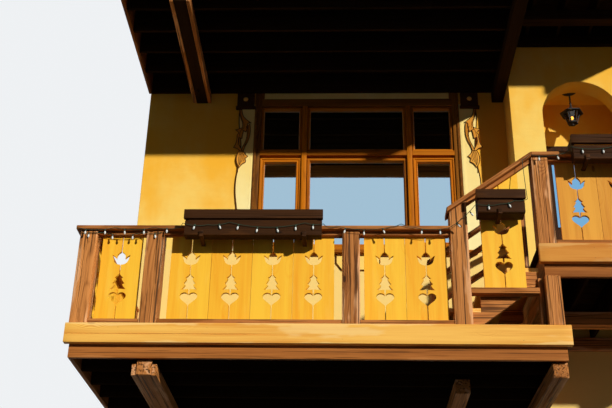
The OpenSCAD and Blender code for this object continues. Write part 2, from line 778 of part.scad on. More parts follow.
// Six-sided lantern on a rod below the ceiling of the recess. Its bars lean in towards the foot.
module lantern() {
    sides = 6;
    x = arch_x - 45;
    y = pier_y + 270;
    roof_r = 140;
    top_r = 100;
    foot_r = 64;
    body_h = 150;
    body_z = springing + 30;
    roof_z = body_z + body_h;
    color(iron) translate([x, y, 0]) {
        translate([0, 0, recess_top - 12]) cylinder(h = 12, r = 58, $fn = 32);
        translate([0, 0, roof_z + 90]) cylinder(h = recess_top - roof_z - 102, r = 7, $fn = 16);
        translate([0, 0, roof_z + 58]) cylinder(h = 34, r = 20, $fn = 24);
        translate([0, 0, roof_z]) cylinder(h = 60, r1 = roof_r, r2 = 30, $fn = sides);
        translate([0, 0, roof_z - 12]) cylinder(h = 12, r = roof_r, $fn = sides);
        translate([0, 0, roof_z - 52]) cylinder(h = 40, r = 16, $fn = 24);
        translate([0, 0, body_z]) cylinder(h = 12, r = foot_r, $fn = sides);
        translate([0, 0, body_z - 24]) cylinder(h = 24, r = 18, $fn = 24);
        for (i = [0:sides - 1])
            rotate(60 * i) upright(-5, 10)
                polygon([[foot_r - 14, body_z + 11], [foot_r - 2, body_z + 11],
                    [top_r, roof_z - 11], [top_r - 12, roof_z - 11]]);
    }
}

// Points along a string: each span between two hooks hangs in a parabola
function string_points(hooks) = [for (i = [0:len(hooks) - 2])
    let (a = hooks[i], way = hooks[i + 1] - a, count = max(1, round(norm(way) / bulb_pitch)))
        each [for (j = [0:count - 1]) let (t = j / count)
            a + way * t - [0, 0, 4 * sag * norm(way) * t * (1 - t)]], hooks[len(hooks) - 1]];

function unit(v) = v / norm(v);

// Eight points round ring i of a wire. No stretch of a wire runs along Y.
function ring(points, i) =
    let (last = len(points) - 1, way = points[min(i + 1, last)] - points[max(i - 1, 0)],
        across = unit(cross(way, [0, 1, 0])), out = unit(cross(way, across)))
    [for (a = [0:45:315]) points[i] + wire_d / 2 * (cos(a) * across + sin(a) * out)];

// A wire of eight sides swept along points
module wire(points) {
    last = len(points) - 1;
    polyhedron([for (i = [0:last]) each ring(points, i)],
        concat([[for (k = [0:7]) k]], [[for (k = [7:-1:0]) last * 8 + k]],
            [for (i = [0:last - 1], k = [0:7]) let (next = (k + 1) % 8)
                [i * 8 + next, i * 8 + k, (i + 1) * 8 + k, (i + 1) * 8 + next]]));
}

// A bulb in its socket, hanging just below a wire
module bulb()
    rotate_extrude($fn = 16)
        polygon([[0, -60], [5, -57], [9.5, -44], [8, -30], [6, -24], [6, -6], [2.2, -4.4],
            [0, -4.4]]);

// Strings of small lights: one bulb in the middle of each longer stretch that isn't steep, and
// a clip behind each hook
module light_string()
    for (hooks = [cap_hooks, rail_hooks]) {
        points = string_points(hooks);
        color("#1f3d2c") {
            wire(points);
            for (h = hooks, plane = [box_y, cap_y, post_y, rail_y])
                if (h[1] == plane - hook_out)
                    block([h[0] - 4, h[0] + 4], [h[1] + wire_d / 2 + 0.5, plane],
                        [h[2] - 4, h[2] + 4]);
        }
        color("#e9ecea") for (i = [0:len(points) - 2]) {
            way = points[i + 1] - points[i];
            if (norm(way) > 125 && way[0] > norm(way) / 2)
                translate(points[i] + way / 2)
                    rotate([0, 12 * sin(137 * i) - atan2(way[2], way[0]), 0]) bulb();
        }
    }

house_wall();
gallery_pier();
window_frame();
window_sashes();
window_glass();
window_surround();
scroll_ornaments();
deck_bearers();
bearer_cheeks();
deck_joists();
deck_rims();
deck_fascia();
deck_planks();
front_posts();
stair_post();
wall_post();
narrow_panel();
wide_panel();
right_panel();
side_panel();
balcony_rails();
handrail_cap();
stair_stringers();
stair_treads();
stair_panel();
stair_rails();
stair_inner_rail();
support_post();
gallery_beams();
gallery_joists();
gallery_planks();
gallery_edge();
gallery_posts();
gallery_panel();
gallery_rails();
gallery_door();
upper_beams();
upper_joists();
upper_planks();
upper_edge();
long_flower_box();
stair_flower_box();
gallery_flower_box();
lantern();
light_string();
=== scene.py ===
# %% [markdown]
# # Dressing a chalet balcony
# The construction comes as a fixed frame: every beam, board and wall is already at its real size
# and place. This lesson gives each of them its finish. Sawn timber gets its real edges, saw marks
# and drying cracks as geometry, and its grain as a procedural material; moulded sashes, flower
# boxes, a lantern and strings of lights follow, and stucco, paint, glass and iron close it.

# %% Load the fixed frame
import json
import math

import bpy
import numpy as np
from mathutils import Matrix, Vector


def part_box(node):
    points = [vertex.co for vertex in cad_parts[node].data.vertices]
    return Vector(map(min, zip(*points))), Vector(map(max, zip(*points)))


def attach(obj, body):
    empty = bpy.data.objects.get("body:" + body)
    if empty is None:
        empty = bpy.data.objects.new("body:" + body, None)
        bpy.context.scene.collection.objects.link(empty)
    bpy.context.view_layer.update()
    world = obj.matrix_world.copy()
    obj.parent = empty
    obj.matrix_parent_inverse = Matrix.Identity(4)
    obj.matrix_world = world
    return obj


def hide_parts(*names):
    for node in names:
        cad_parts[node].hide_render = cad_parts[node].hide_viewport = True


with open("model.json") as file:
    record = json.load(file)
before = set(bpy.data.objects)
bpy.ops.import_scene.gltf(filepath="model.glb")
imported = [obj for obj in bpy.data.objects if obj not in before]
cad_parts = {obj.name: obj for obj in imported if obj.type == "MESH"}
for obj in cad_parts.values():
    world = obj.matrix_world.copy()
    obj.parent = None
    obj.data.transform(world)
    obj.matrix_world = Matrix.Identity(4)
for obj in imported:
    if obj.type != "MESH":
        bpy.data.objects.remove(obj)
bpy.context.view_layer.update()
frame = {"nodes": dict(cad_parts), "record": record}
nodes = frame["nodes"]

# %% [markdown]
# ## Camera
# The picture was taken from the street, a few metres below the balcony and a little left of the
# middle of the whole part. Yaw turns the camera about the vertical, pitch tips it up and roll is
# the small lean of the hand-held picture. Three angles keep the view readable, and a matrix
# follows.

# %% Place the camera
EYE = Vector((0.255, -10.84, -3.252))
YAW, PITCH, ROLL = (math.radians(a) for a in (-2.4747, 27.684, 1.1913))
ahead = Vector((math.sin(YAW) * math.cos(PITCH), math.cos(YAW) * math.cos(PITCH), math.sin(PITCH)))
level = Vector((math.cos(YAW), -math.sin(YAW), 0))
sideways = Matrix.Rotation(-ROLL, 3, ahead) @ level
up = sideways.cross(ahead)
camera = bpy.data.objects.new("street_view", bpy.data.cameras.new("street_view"))
camera.matrix_world = Matrix((
    *((sideways[i], up[i], -ahead[i], EYE[i]) for i in range(3)),
    (0, 0, 0, 1)))
camera.data.sensor_width = 36
camera.data.lens = 59.55
bpy.context.scene.collection.objects.link(camera)
bpy.context.scene.camera = camera
print("lens", camera.data.lens, "mm, looking along", tuple(round(x, 3) for x in ahead))

# %% [markdown]
# ## Light
# A low key light from the front right draws the shadows of boxes, rails and decks. A weak world
# fills them, and gives more from the house side, which the key light never reaches. Seen directly
# or in a reflection, the world is a plain pale backdrop, and so is the floor; Light Path keeps
# that apart from the light that they give, so that little of it comes back up under the decks.

# %% Key light
KEY_WAY = Vector((-0.79, 1.0, -0.44))
key = bpy.data.objects.new("key_light", bpy.data.lights.new("key_light", "SUN"))
key.data.energy = 3.8
key.data.color = (1.0, 0.96, 0.88)
key.data.angle = math.radians(1.5)
key.rotation_mode = "QUATERNION"
key.rotation_quaternion = KEY_WAY.to_track_quat("-Z", "Y")
bpy.context.scene.collection.objects.link(key)
bpy.context.scene.view_settings.view_transform = "Standard"
print("key light along", tuple(KEY_WAY))

# %% Nodes with their inputs in one call


def wire(tree, kind, inputs=None, **settings):
    """Adds a node, sets its properties and feeds its inputs with values or sockets."""
    node = tree.nodes.new(kind)
    for name, value in settings.items():
        setattr(node, name, value)
    for name, value in (inputs or {}).items():
        if isinstance(value, bpy.types.NodeSocket):
            tree.links.new(value, node.inputs[name])
        else:
            node.inputs[name].default_value = value
    return node


def coordinates(tree, kind="Object"):
    """Texture coordinates of that kind."""
    return wire(tree, "ShaderNodeTexCoord").outputs[kind]


def axes_of(tree, vector):
    """The x, y and z of a vector, as three sockets."""
    return wire(tree, "ShaderNodeSeparateXYZ", {0: vector}).outputs


def by_ray(tree, giving, seen):
    """The shader giving for a ray that gathers light, and the shader seen for one that comes from
    the camera or from a mirror-like or clear surface."""
    path = wire(tree, "ShaderNodeLightPath").outputs
    share = path["Is Camera Ray"]
    for kind in ("Is Glossy Ray", "Is Transmission Ray"):
        share = wire(tree, "ShaderNodeMath", {0: share, 1: path[kind]},
            operation="MAXIMUM").outputs[0]
    return wire(tree, "ShaderNodeMixShader",
        {0: share, 1: giving.outputs[0], 2: seen.outputs[0]}).outputs[0]

# %% World
world = bpy.data.worlds.new("studio")
bpy.context.scene.world = world
world.use_nodes = True
sky = world.node_tree
sky.nodes.clear()
toward = axes_of(sky, coordinates(sky, "Generated"))
strength = wire(sky, "ShaderNodeMapRange", {"Value": toward[1], "From Min": -0.3, "From Max": 0.6,
    "To Min": 0.07, "To Max": 0.45})
fill = wire(sky, "ShaderNodeBackground", {"Color": (0.86, 0.93, 1.0, 1),
    "Strength": strength.outputs[0]})
pale = wire(sky, "ShaderNodeBackground", {"Color": (0.86, 0.88, 0.90, 1), "Strength": 1.0})
wire(sky, "ShaderNodeOutputWorld", {"Surface": by_ray(sky, fill, pale)})
print("world of", len(sky.nodes), "nodes")

# %% Floor
FLOOR_Z, FLOOR_REACH = -4.85, 40
floor_mesh = bpy.data.meshes.new("floor")
floor_mesh.from_pydata([(x, y, FLOOR_Z) for x, y in ((-FLOOR_REACH, -FLOOR_REACH),
    (FLOOR_REACH, -FLOOR_REACH), (FLOOR_REACH, FLOOR_REACH), (-FLOOR_REACH, FLOOR_REACH))],
    [], [(0, 1, 2, 3)])
floor = bpy.data.objects.new("floor", floor_mesh)
floor_paint = bpy.data.materials.new("pale floor")
floor_paint.use_nodes = True
ground = floor_paint.node_tree
ground.nodes.clear()
dull = wire(ground, "ShaderNodeBsdfDiffuse", {"Color": (0.10, 0.10, 0.10, 1)})
plain = wire(ground, "ShaderNodeBsdfDiffuse", {"Color": (0.80, 0.80, 0.79, 1)})
wire(ground, "ShaderNodeOutputMaterial", {"Surface": by_ray(ground, dull, plain)})
floor_mesh.materials.append(floor_paint)
bpy.context.scene.collection.objects.link(floor)
print("floor at", FLOOR_Z)

# %% [markdown]
# ## A mesh from arrays
# Everything below is worked out as whole arrays of points and faces. A part is a small dictionary
# of arrays; `build` joins many parts into one object, so that all the planks of a deck stay one
# piece. Each point also carries `grain`, its place in its own plank, `tint`, one number for each
# plank, and `worn`, which is 1 along an edge that hands and weather reach. The wood material
# reads all three.

# %% Join parts into one object


def part(points, faces, grain=None, tint=0.5, worn=None):
    """One part of a piece: its points, arrays of faces, and what each point carries."""
    points = np.asarray(points, float)
    return {"points": points, "faces": faces, "tint": np.full(len(points), tint),
        "grain": points if grain is None else grain,
        "worn": np.zeros(len(points)) if worn is None else worn}


def build(name, parts, material, stands_for=(), smooth_angle=38):
    """One mesh object from parts, with its material and the nodes that it stands for."""
    points = np.concatenate([p["points"] for p in parts])
    first = np.cumsum([0] + [len(p["points"]) for p in parts])
    rows = [faces + start for p, start in zip(parts, first) for faces in p["faces"] if len(faces)]
    corners = np.concatenate([r.ravel() for r in rows])
    sizes = np.concatenate([np.full(len(r), r.shape[1]) for r in rows])
    mesh = bpy.data.meshes.new(name)
    mesh.vertices.add(len(points))
    mesh.vertices.foreach_set("co", points.ravel())
    mesh.loops.add(len(corners))
    mesh.loops.foreach_set("vertex_index", corners.astype(np.int32))
    mesh.polygons.add(len(sizes))
    starts = np.concatenate([[0], np.cumsum(sizes)[:-1]])
    mesh.polygons.foreach_set("loop_start", starts.astype(np.int32))
    mesh.polygons.foreach_set("loop_total", sizes.astype(np.int32))
    mesh.update(calc_edges=True)
    for title, kind, field in (("grain", "FLOAT_VECTOR", "vector"), ("tint", "FLOAT", "value"),
            ("worn", "FLOAT", "value")):
        values = np.concatenate([p[title] for p in parts]).astype(np.float32)
        mesh.attributes.new(title, kind, "POINT").data.foreach_set(field, values.ravel())
    mesh.shade_smooth()
    mesh.set_sharp_from_angle(angle=math.radians(smooth_angle))
    mesh.materials.append(material)
    piece = bpy.data.objects.new(name, mesh)
    bpy.context.scene.collection.objects.link(piece)
    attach(piece, "root")
    if stands_for:
        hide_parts(*stands_for)
    print(name, len(mesh.polygons), "faces")

# %% [markdown]
# ## Grids of faces
# A tube, a turned bulb and a board are all the same thing to a mesh: a grid of points whose
# columns go round and whose rows go along. One function joins such a grid with four-sided faces.

# %% Faces of a grid


def quads(rows, columns):
    """Faces between the points of a grid that was flattened row by row. Its columns close."""
    index = np.arange(rows * columns).reshape(rows, columns)
    index = np.concatenate([index, index[:, :1]], axis=1)
    return np.stack([index[:-1, :-1], index[:-1, 1:], index[1:, 1:], index[1:, :-1]],
        axis=-1).reshape(-1, 4)


def lids(rows, columns):
    """Triangles from the first and the last row to two poles that follow the grid's points."""
    column = np.arange(columns)
    after, last = np.roll(column, -1), (rows - 1) * columns
    pole = np.full(columns, rows * columns)
    return [np.stack([pole, after, column], axis=-1),
        np.stack([pole + 1, last + column, last + after], axis=-1)]

# %% Turned forms and beads


def turned(profile, place, way, sides=12):
    """A closed form turned about a line: a point of radius r and height h lies at place + h * way
    + r * (cos a, sin a) across it. The profile starts and ends on the line."""
    profile, place, way = np.array(profile, float), np.array(place, float), np.array(way, float)
    way = way / np.linalg.norm(way)
    across = np.cross(way, [0.3, 1.0, 0.2])
    across /= np.linalg.norm(across)
    turn = np.linspace(0, 2 * np.pi, sides, endpoint=False)[:, None]
    spokes = np.cos(turn) * across + np.sin(turn) * np.cross(way, across)
    inner = profile[1:-1]
    rings = place + inner[:, None, 1:] * way + inner[:, None, :1] * spokes
    poles = place + profile[[0, -1], 1:] * way
    return part(np.concatenate([rings.reshape(-1, 3), poles]),
        [quads(len(inner), sides), *lids(len(inner), sides)])


def tube(path, radius, sides=8, flat=1.0):
    """A round bead along a path that never runs along Y: a ring of points round each point of the
    path, square to the way there. flat presses it thinner along Y."""
    path = np.array(path, float)
    way = np.gradient(path, axis=0)
    way /= np.linalg.norm(way, axis=1, keepdims=True)
    across = np.cross(way, [0, 1, 0])
    across /= np.linalg.norm(across, axis=1, keepdims=True)
    turn = np.linspace(0, 2 * np.pi, sides, endpoint=False)[:, None]
    rings = path[:, None] + radius * (np.cos(turn) * across[:, None]
        + flat * np.sin(turn) * np.cross(way, across)[:, None])
    return part(np.concatenate([rings.reshape(-1, 3), path[[0, -1]]]),
        [quads(len(path), sides), *lids(len(path), sides)])

# %% [markdown]
# ## Sawn timber
# A sawn post is a rounded square that has moved as it dried: its faces wave by a millimetre or
# two, its edges are worn, and narrow V-shaped checks run with the grain. A plain box with a bump
# texture would look the same in every light, so the section is carried along the timber on a
# grid.

# %% Waves of a surface and the section of a timber
CORNER = 0.29


def waves(points, seed, count=7):
    """Smooth noise from -1 to 1: the mean of a few sine waves that run in random directions."""
    draw = np.random.default_rng(seed)
    ways = draw.normal(size=(count, 3)) * np.linspace(3, 26, count)[:, None]
    return np.sin(points @ ways.T + draw.uniform(0, 6.28, count)).mean(axis=1) * 1.6


def section(width, depth, ease, step, checks):
    """Every side runs straight from corner to corner, and a point at the middle of each corner,
    CORNER of the ease inside it, rounds it. A check at share t of a side adds a point on each side
    of its own."""
    half = np.array([width, depth]) / 2
    ring, bottoms, worn = [], [], []
    for side in range(4):
        along = np.array([[1, 0], [0, 1], [-1, 0], [0, -1]])[side]
        out = np.array([[0, -1], [1, 0], [0, 1], [-1, 0]])[side]
        reach = abs(along) @ half - ease
        start = -along * reach + out * (abs(out) @ half)
        pieces = max(1, round(2 * reach / step))
        shares = [(i / pieces, -1) for i in range(pieces + 1)]
        for number, (at_side, share, gape) in enumerate(checks):
            if at_side == side:
                edge = gape / (2 * reach)
                shares = [s for s in shares if abs(s[0] - share) > 2.5 * edge]
                shares += [(share - edge, -1), (share, number), (share + edge, -1)]
        for share, number in sorted(shares):
            ring.append(start + along * 2 * reach * share)
            bottoms.append(number)
            worn.append(1.0 if share in (0, 1) else 0.0)
        ring.append(out * (abs(out) @ half - ease * CORNER)
            + along * (reach + ease * (1 - CORNER)))
        bottoms.append(-1)
        worn.append(1.0)
    return np.array(ring), np.array(bottoms), np.array(worn)

# %% Timber as a grid
GAPE, SINK = (0.0015, 0.0035), (0.006, 0.016)


def timber(start, end, side, width, depth, seed, ease=0.004, rough=0.0012, checks=2, step=0.03,
           pace=0.09, cuts=(0.0, 0.0)):
    """A sawn timber from start to end. Its section is carried along it on a grid.

    side is the direction of its width. A point at (u, v) is the section's point u, pushed in by
    smooth noise, at station v; the ends are eased and closed to a pole. cuts slope the two ends:
    each gives how far the end reaches on per metre of depth."""
    draw = np.random.default_rng(seed)
    start, end, side = (np.array(x, float) for x in (start, end, side))
    length = np.linalg.norm(end - start)
    axis = (end - start) / length
    cracks = [(int(draw.integers(4)), draw.uniform(0.2, 0.8), draw.uniform(*GAPE))
              for _ in range(checks)]
    ring, bottoms, worn = section(width, depth, ease, step, cracks)
    count = max(2, round((length - 2 * ease) / pace))
    stations = np.concatenate([[0], np.linspace(ease, length - ease, count + 1), [length]])
    shrink = np.ones((len(stations), 1, 1))
    shrink[[0, -1]] = 1 - 2 * ease / max(width, depth)
    grid = ring[None] * shrink
    along = np.broadcast_to(stations[:, None], grid.shape[:2]).copy()
    along += grid[..., 1] * (cuts[0] + (cuts[1] - cuts[0]) * along / length)
    out = ring / np.maximum(np.linalg.norm(ring, axis=1, keepdims=True), 1e-6)
    flat = np.stack([along, grid[..., 0], grid[..., 1]], axis=-1).reshape(-1, 3)
    sink = 0.5 - 0.5 * waves(flat * [1, 6, 6] + seed, seed)
    sink = rough * sink.clip(0, 1.4).reshape(along.shape)
    for number in range(checks):
        opens, run = draw.uniform(-0.2, 0.7) * length, draw.uniform(0.25, 0.8) * length
        gape = np.sin(np.pi * np.clip((along - opens) / run, 0, 1)) ** 0.6
        sink = sink + np.where(bottoms == number, draw.uniform(*SINK), 0) * gape
    sink[[0, -1]] *= 0.3
    grid = grid - out[None] * sink[..., None]
    flat = np.stack([along, grid[..., 0], grid[..., 1]], axis=-1).reshape(-1, 3)
    local = np.concatenate([flat, [[0, 0, 0], [length, 0, 0]]])
    points = start + local @ np.stack([axis, side, np.cross(axis, side)])
    grain = local + [draw.uniform(0, 40), draw.uniform(-0.5, 0.5) * width,
        -depth * draw.uniform(0.6, 1.6)]
    edges = np.concatenate([np.broadcast_to(worn, along.shape).ravel(), [1, 1]])
    return part(points, [quads(len(stations), len(ring)), *lids(len(stations), len(ring))], grain,
        draw.uniform(), edges)


def plank(low, high, seed, **finish):
    """A timber that fills the box from low to high and runs along its longest side."""
    low, high = np.array(low, float), np.array(high, float)
    middle, size = (low + high) / 2, high - low
    run = int(size.argmax())
    start, end = middle.copy(), middle.copy()
    start[run], end[run] = low[run], high[run]
    return timber(start, end, np.eye(3)[(run + 1) % 3], size[(run + 1) % 3], size[(run + 2) % 3],
        seed, **finish)

# %% [markdown]
# ## Where the timbers lie
# The frame's decks are many separate solids in one node. The boxes of those solids say where each
# plank lies, so nothing is measured twice: corners that coincide are merged, and every triangle
# hands the lowest label of its corners on until each solid has one label.

# %% Boxes of the separate solids of a node


def solids(node):
    """(lowest corner, highest corner) of each separate solid of a CAD node, as arrays."""
    mesh = nodes[node].data
    places = np.empty(len(mesh.vertices) * 3)
    mesh.vertices.foreach_get("co", places)
    places = places.reshape(-1, 3)
    mesh.calc_loop_triangles()
    triangles = np.empty(len(mesh.loop_triangles) * 3, int)
    mesh.loop_triangles.foreach_get("vertices", triangles)
    _, merged = np.unique(np.round(places * 1e4).astype(int), axis=0, return_inverse=True)
    triangles = merged.reshape(-1)[triangles].reshape(-1, 3)
    label = np.arange(merged.max() + 1)
    while True:
        lowest = label[triangles].min(axis=1)
        handed = label.copy()
        np.minimum.at(handed, triangles.ravel(), np.repeat(lowest, 3))
        if (handed == label).all():
            break
        label = handed
    of_point = label[merged.reshape(-1)]
    return [(places[of_point == one].min(axis=0), places[of_point == one].max(axis=0))
            for one in np.unique(of_point)]

# %% [markdown]
# ## Shared effects
# Several woods share one grain, so grain is a node group that is built once and placed in each
# material with its own colours. In a log the year rings lie round the pith: a plank shows them as
# lines on its faces and as arcs on its ends. The group measures the distance to the pith, which
# `grain` carries, bends it with noise and round knots, and turns it into bands. Dark streaks
# follow where the surface has checked, and pale patches where an edge has worn bare.

# %% Helpers for node groups


def effect(name, inputs):
    """A shader node group with named inputs, by kind, that puts out a colour, a roughness and a
    height. Gives the tree, its input sockets and a function that links the three results."""
    tree = bpy.data.node_groups.new(name, "ShaderNodeTree")
    results = {"Color": ["Color"], "Float": ["Roughness", "Height"]}
    for way, sockets in (("INPUT", inputs), ("OUTPUT", results)):
        for kind, titles in sockets.items():
            for title in titles:
                tree.interface.new_socket(title, in_out=way, socket_type="NodeSocket" + kind)

    def gives(colour, roughness, height):
        """Links the three results to the group's output."""
        wire(tree, "NodeGroupOutput", {"Color": colour, "Roughness": roughness, "Height": height})
        print(name, "has", len(tree.nodes), "nodes")

    return tree, wire(tree, "NodeGroupInput").outputs, gives


def calc(tree, operation, a, b=0.0, c=0.0, clamp=False):
    """One Math node; a, b and c are numbers or sockets."""
    return wire(tree, "ShaderNodeMath", {0: a, 1: b, 2: c}, operation=operation,
                use_clamp=clamp).outputs[0]


def scaled(tree, value, factor, plus=0.0):
    """value * factor + plus."""
    return calc(tree, "MULTIPLY_ADD", value, factor, plus)


def moved(tree, vector, other, operation="MULTIPLY"):
    """A vector times another, or with ADD or SUBTRACT moved by it."""
    return wire(tree, "ShaderNodeVectorMath", {0: vector, 1: other},
        operation=operation).outputs[0]


def noise(tree, vector, factors, detail=2.0, rough=0.5, output=0):
    """Noise from about 0 to 1 over a stretched vector; output 1 is its colour."""
    return wire(tree, "ShaderNodeTexNoise", {"Vector": moved(tree, vector, factors), "Scale": 1.0,
        "Detail": detail, "Roughness": rough}).outputs[output]


def between(tree, value, low, high, to_low=0.0, to_high=1.0):
    """Maps low to high onto to_low to to_high, smoothly and without going past them."""
    return wire(tree, "ShaderNodeMapRange", {"Value": value, "From Min": low, "From Max": high,
        "To Min": to_low, "To Max": to_high}, interpolation_type="SMOOTHSTEP").outputs[0]


def blend(tree, share, a, b):
    """Mixes two colours."""
    return wire(tree, "ShaderNodeMix", {0: share, 6: a, 7: b}, data_type="RGBA").outputs[2]

# %% Sawn wood
KNOTS_SHOWN, CRACK = 0.62, (0.035, 0.016, 0.008, 1)
grain_tree, given, gives = effect("sawn wood", {"Vector": ["Grain"],
    "Float": ["Tint", "Worn", "Ring", "Bands", "Cracks", "Patches"],
    "Color": ["Light", "Dark", "Knot", "Bare"]})
g = grain_tree
bent = moved(g, noise(g, given["Grain"], (0.8, 6, 6), 1, output=1), (0.5, 0.5, 0.5), "SUBTRACT")
apart = axes_of(g, moved(g, moved(g, bent, (0, 0.03, 0.03)), given["Grain"], "ADD"))
knots = wire(g, "ShaderNodeTexVoronoi", {"Vector": moved(g, given["Grain"], (2.6, 6.5, 6.5)),
    "Scale": 1.0, "Randomness": 0.95}).outputs
lively = wire(g, "ShaderNodeSeparateColor", {"Color": knots["Color"]}).outputs[0]
lively = calc(g, "GREATER_THAN", lively, KNOTS_SHOWN)
knot, swirl = (scaled(g, lively, between(g, knots["Distance"], rim, core))
    for rim, core in ((0.12, 0.07), (0.5, 0.05)))
radius = calc(g, "SQRT", scaled(g, apart[1], apart[1], scaled(g, apart[2], apart[2])))
phase = calc(g, "DIVIDE", scaled(g, swirl, 0.02, radius), given["Ring"])
band = scaled(g, calc(g, "SINE", scaled(g, phase, 6.283)), 0.5, 0.5)
band = calc(g, "POWER", band, 2.4)
fibre = noise(g, given["Grain"], (2.4, 210, 210), 3, 0.6)
streak = noise(g, given["Grain"], (0.7, 17, 17), 2)
fade = noise(g, given["Grain"], (1.4, 7, 7), 3, 0.6)
crack = between(g, noise(g, given["Grain"], (0.9, 62, 62), 2), 0.57, 0.63)
crack = scaled(g, crack, given["Cracks"])
tone = scaled(g, band, given["Bands"])
for shade, weight in ((fibre, scaled(g, given["Cracks"], 0.9, 0.8)),
        (streak, scaled(g, given["Bands"], 1.6, 0.7)), (given["Tint"], 0.5)):
    tone = scaled(g, calc(g, "SUBTRACT", shade, 0.5), weight, tone)
tone = calc(g, "ADD", tone, 0.25, clamp=True)
bare = scaled(g, given["Worn"], 0.13, fade)
bare = scaled(g, between(g, bare, 0.58, 0.68), given["Patches"])
colour = blend(g, tone, given["Light"], given["Dark"])
for mask, weight, over in ((knot, 0.85, given["Knot"]), (bare, 0.75, given["Bare"]),
        (crack, 0.8, CRACK)):
    colour = blend(g, scaled(g, mask, weight), colour, over)
height = scaled(g, bare, -0.3, scaled(g, band, 0.35, scaled(g, fibre, 0.6)))
gives(colour, scaled(g, fibre, 0.25, 0.45), scaled(g, crack, -2.5, height))

# %% [markdown]
# ## The woods
# Each wood is the same grain with its own colours: golden varnished boards, honey-coloured
# fascias, reddish rails, weathered posts, dark boxes and the almost black soffit. The soffit's
# dark brown is its own colour made darker still to paint the shade under the decks, and the
# gallery's fascia takes a darker honey that paints the half shade on the gallery. A timber made
# above carries its own `grain`; a node that stays as it is reads Object coordinates instead.

# %% A material from the group


def rgb(red, green, blue):
    """A colour given as on a screen, from 0 to 255, as the linear numbers that a shader takes."""
    share = np.array([red, green, blue]) / 255
    return tuple(np.where(share < 0.04045, share / 12.92, ((share + 0.055) / 1.055) ** 2.4))


def surface(name, colour, rough=0.6, gloss=0.2):
    """A new material with its Principled shader. gloss is the level of its reflections."""
    material = bpy.data.materials.new(name)
    material.use_nodes = True
    shader = material.node_tree.nodes["Principled BSDF"]
    shader.inputs["Base Color"].default_value = (*colour, 1)
    shader.inputs["Roughness"].default_value = rough
    shader.inputs["Specular IOR Level"].default_value = gloss
    return material, material.node_tree, shader


def bump(tree, shader, height, distance):
    """Lets a height feed the shader's normal; distance is the depth in metres."""
    node = wire(tree, "ShaderNodeBump", {"Height": height, "Distance": distance, "Strength": 1.0})
    tree.links.new(node.outputs[0], shader.inputs["Normal"])


def dress(tree, shader, group, inputs, depth):
    """Places a node group in a material, where it feeds the colour, the roughness and the bump."""
    coat = wire(tree, "ShaderNodeGroup", inputs, node_tree=group)
    tree.links.new(coat.outputs["Color"], shader.inputs["Base Color"])
    tree.links.new(coat.outputs["Roughness"], shader.inputs["Roughness"])
    bump(tree, shader, coat.outputs["Height"], depth)


def opaque(titles, colours):
    """Colours by the names of the sockets that they go to, with full alpha."""
    return {title: (*colour, 1) for title, colour in zip(titles, colours)}


def wood(name, light, dark, knot, bare, ring=0.007, bands=0.5, cracks=0.0, patches=0.0,
         depth=0.0012, boards=None, gloss=0.08):
    """A wood that reads the timber's own grain, or with boards=(run, across, width, first) the
    Object coordinates of boards of that width side by side from first."""
    material, tree, shader = surface(name, light, 0.6, gloss)
    carried = {title: wire(tree, "ShaderNodeAttribute", attribute_name=title).outputs
        for title in ("grain", "tint", "worn")}
    vector, tint = carried["grain"]["Vector"], carried["tint"]["Fac"]
    if boards:
        run, across, width, first = boards
        axes = axes_of(tree, coordinates(tree))
        number = calc(tree, "DIVIDE", calc(tree, "SUBTRACT", axes[across], first), width)
        number = calc(tree, "FLOOR", number)
        tint = wire(tree, "ShaderNodeTexWhiteNoise", {"W": number},
            noise_dimensions="1D").outputs[0]
        local = calc(tree, "SUBTRACT", axes[across], scaled(tree, number, width))
        vector = wire(tree, "ShaderNodeCombineXYZ", {0: scaled(tree, number, 3.7, axes[run]),
            1: calc(tree, "SUBTRACT", local, first + width * 0.5),
            2: calc(tree, "ADD", axes[3 - run - across], scaled(tree, tint, 0.1, 0.04))
            }).outputs[0]
    dress(tree, shader, grain_tree, {"Grain": vector, "Tint": tint, "Worn": carried["worn"]["Fac"],
        "Ring": ring, "Bands": bands, "Cracks": cracks, "Patches": patches,
        **opaque(("Light", "Dark", "Knot", "Bare"), (light, dark, knot, bare))}, depth)
    return material

# %% Colours and materials of the woods
HONEY = rgb(255, 200, 96), rgb(216, 130, 38), rgb(160, 84, 24), rgb(255, 216, 140)
# The second honey is the fascias' honey made darker: painted shade for the gallery's half shade.
SHADED_HONEY = rgb(226, 158, 72), rgb(192, 114, 42), rgb(140, 70, 22), rgb(236, 190, 120)
WEATHERED = rgb(216, 142, 76), rgb(122, 68, 28), rgb(60, 30, 12), rgb(244, 184, 132)
REDDISH = rgb(184, 114, 54), rgb(118, 64, 24), rgb(76, 38, 14), rgb(204, 134, 74)
DARK = rgb(62, 34, 10), rgb(32, 16, 4), rgb(22, 11, 4), rgb(98, 58, 24)
# SOFFIT is dark brown made almost black: partly the wood's own colour, partly painted shade.
SOFFIT = rgb(58, 40, 24), rgb(30, 20, 12), rgb(20, 12, 8), rgb(70, 50, 32)
WINDOW = rgb(198, 114, 12), rgb(134, 70, 6), rgb(90, 42, 6), rgb(216, 140, 44)
CASING_WOOD = rgb(150, 92, 24), rgb(76, 42, 12), rgb(50, 26, 8), rgb(176, 116, 44)
honey = wood("honey timber", *HONEY, bands=0.65, patches=0.8, gloss=0.15)
shaded_honey = wood("shaded honey timber", *SHADED_HONEY, bands=0.6, patches=0.6)
weathered = wood("weathered timber", *WEATHERED, ring=0.005, bands=0.35, cracks=1.0, patches=0.9,
    depth=0.003)
reddish = wood("reddish timber", *REDDISH, bands=0.3, cracks=0.6, patches=0.7, depth=0.002)
dark_wood = wood("dark timber", *DARK, bands=0.3, cracks=0.4, patches=0.4, depth=0.002)
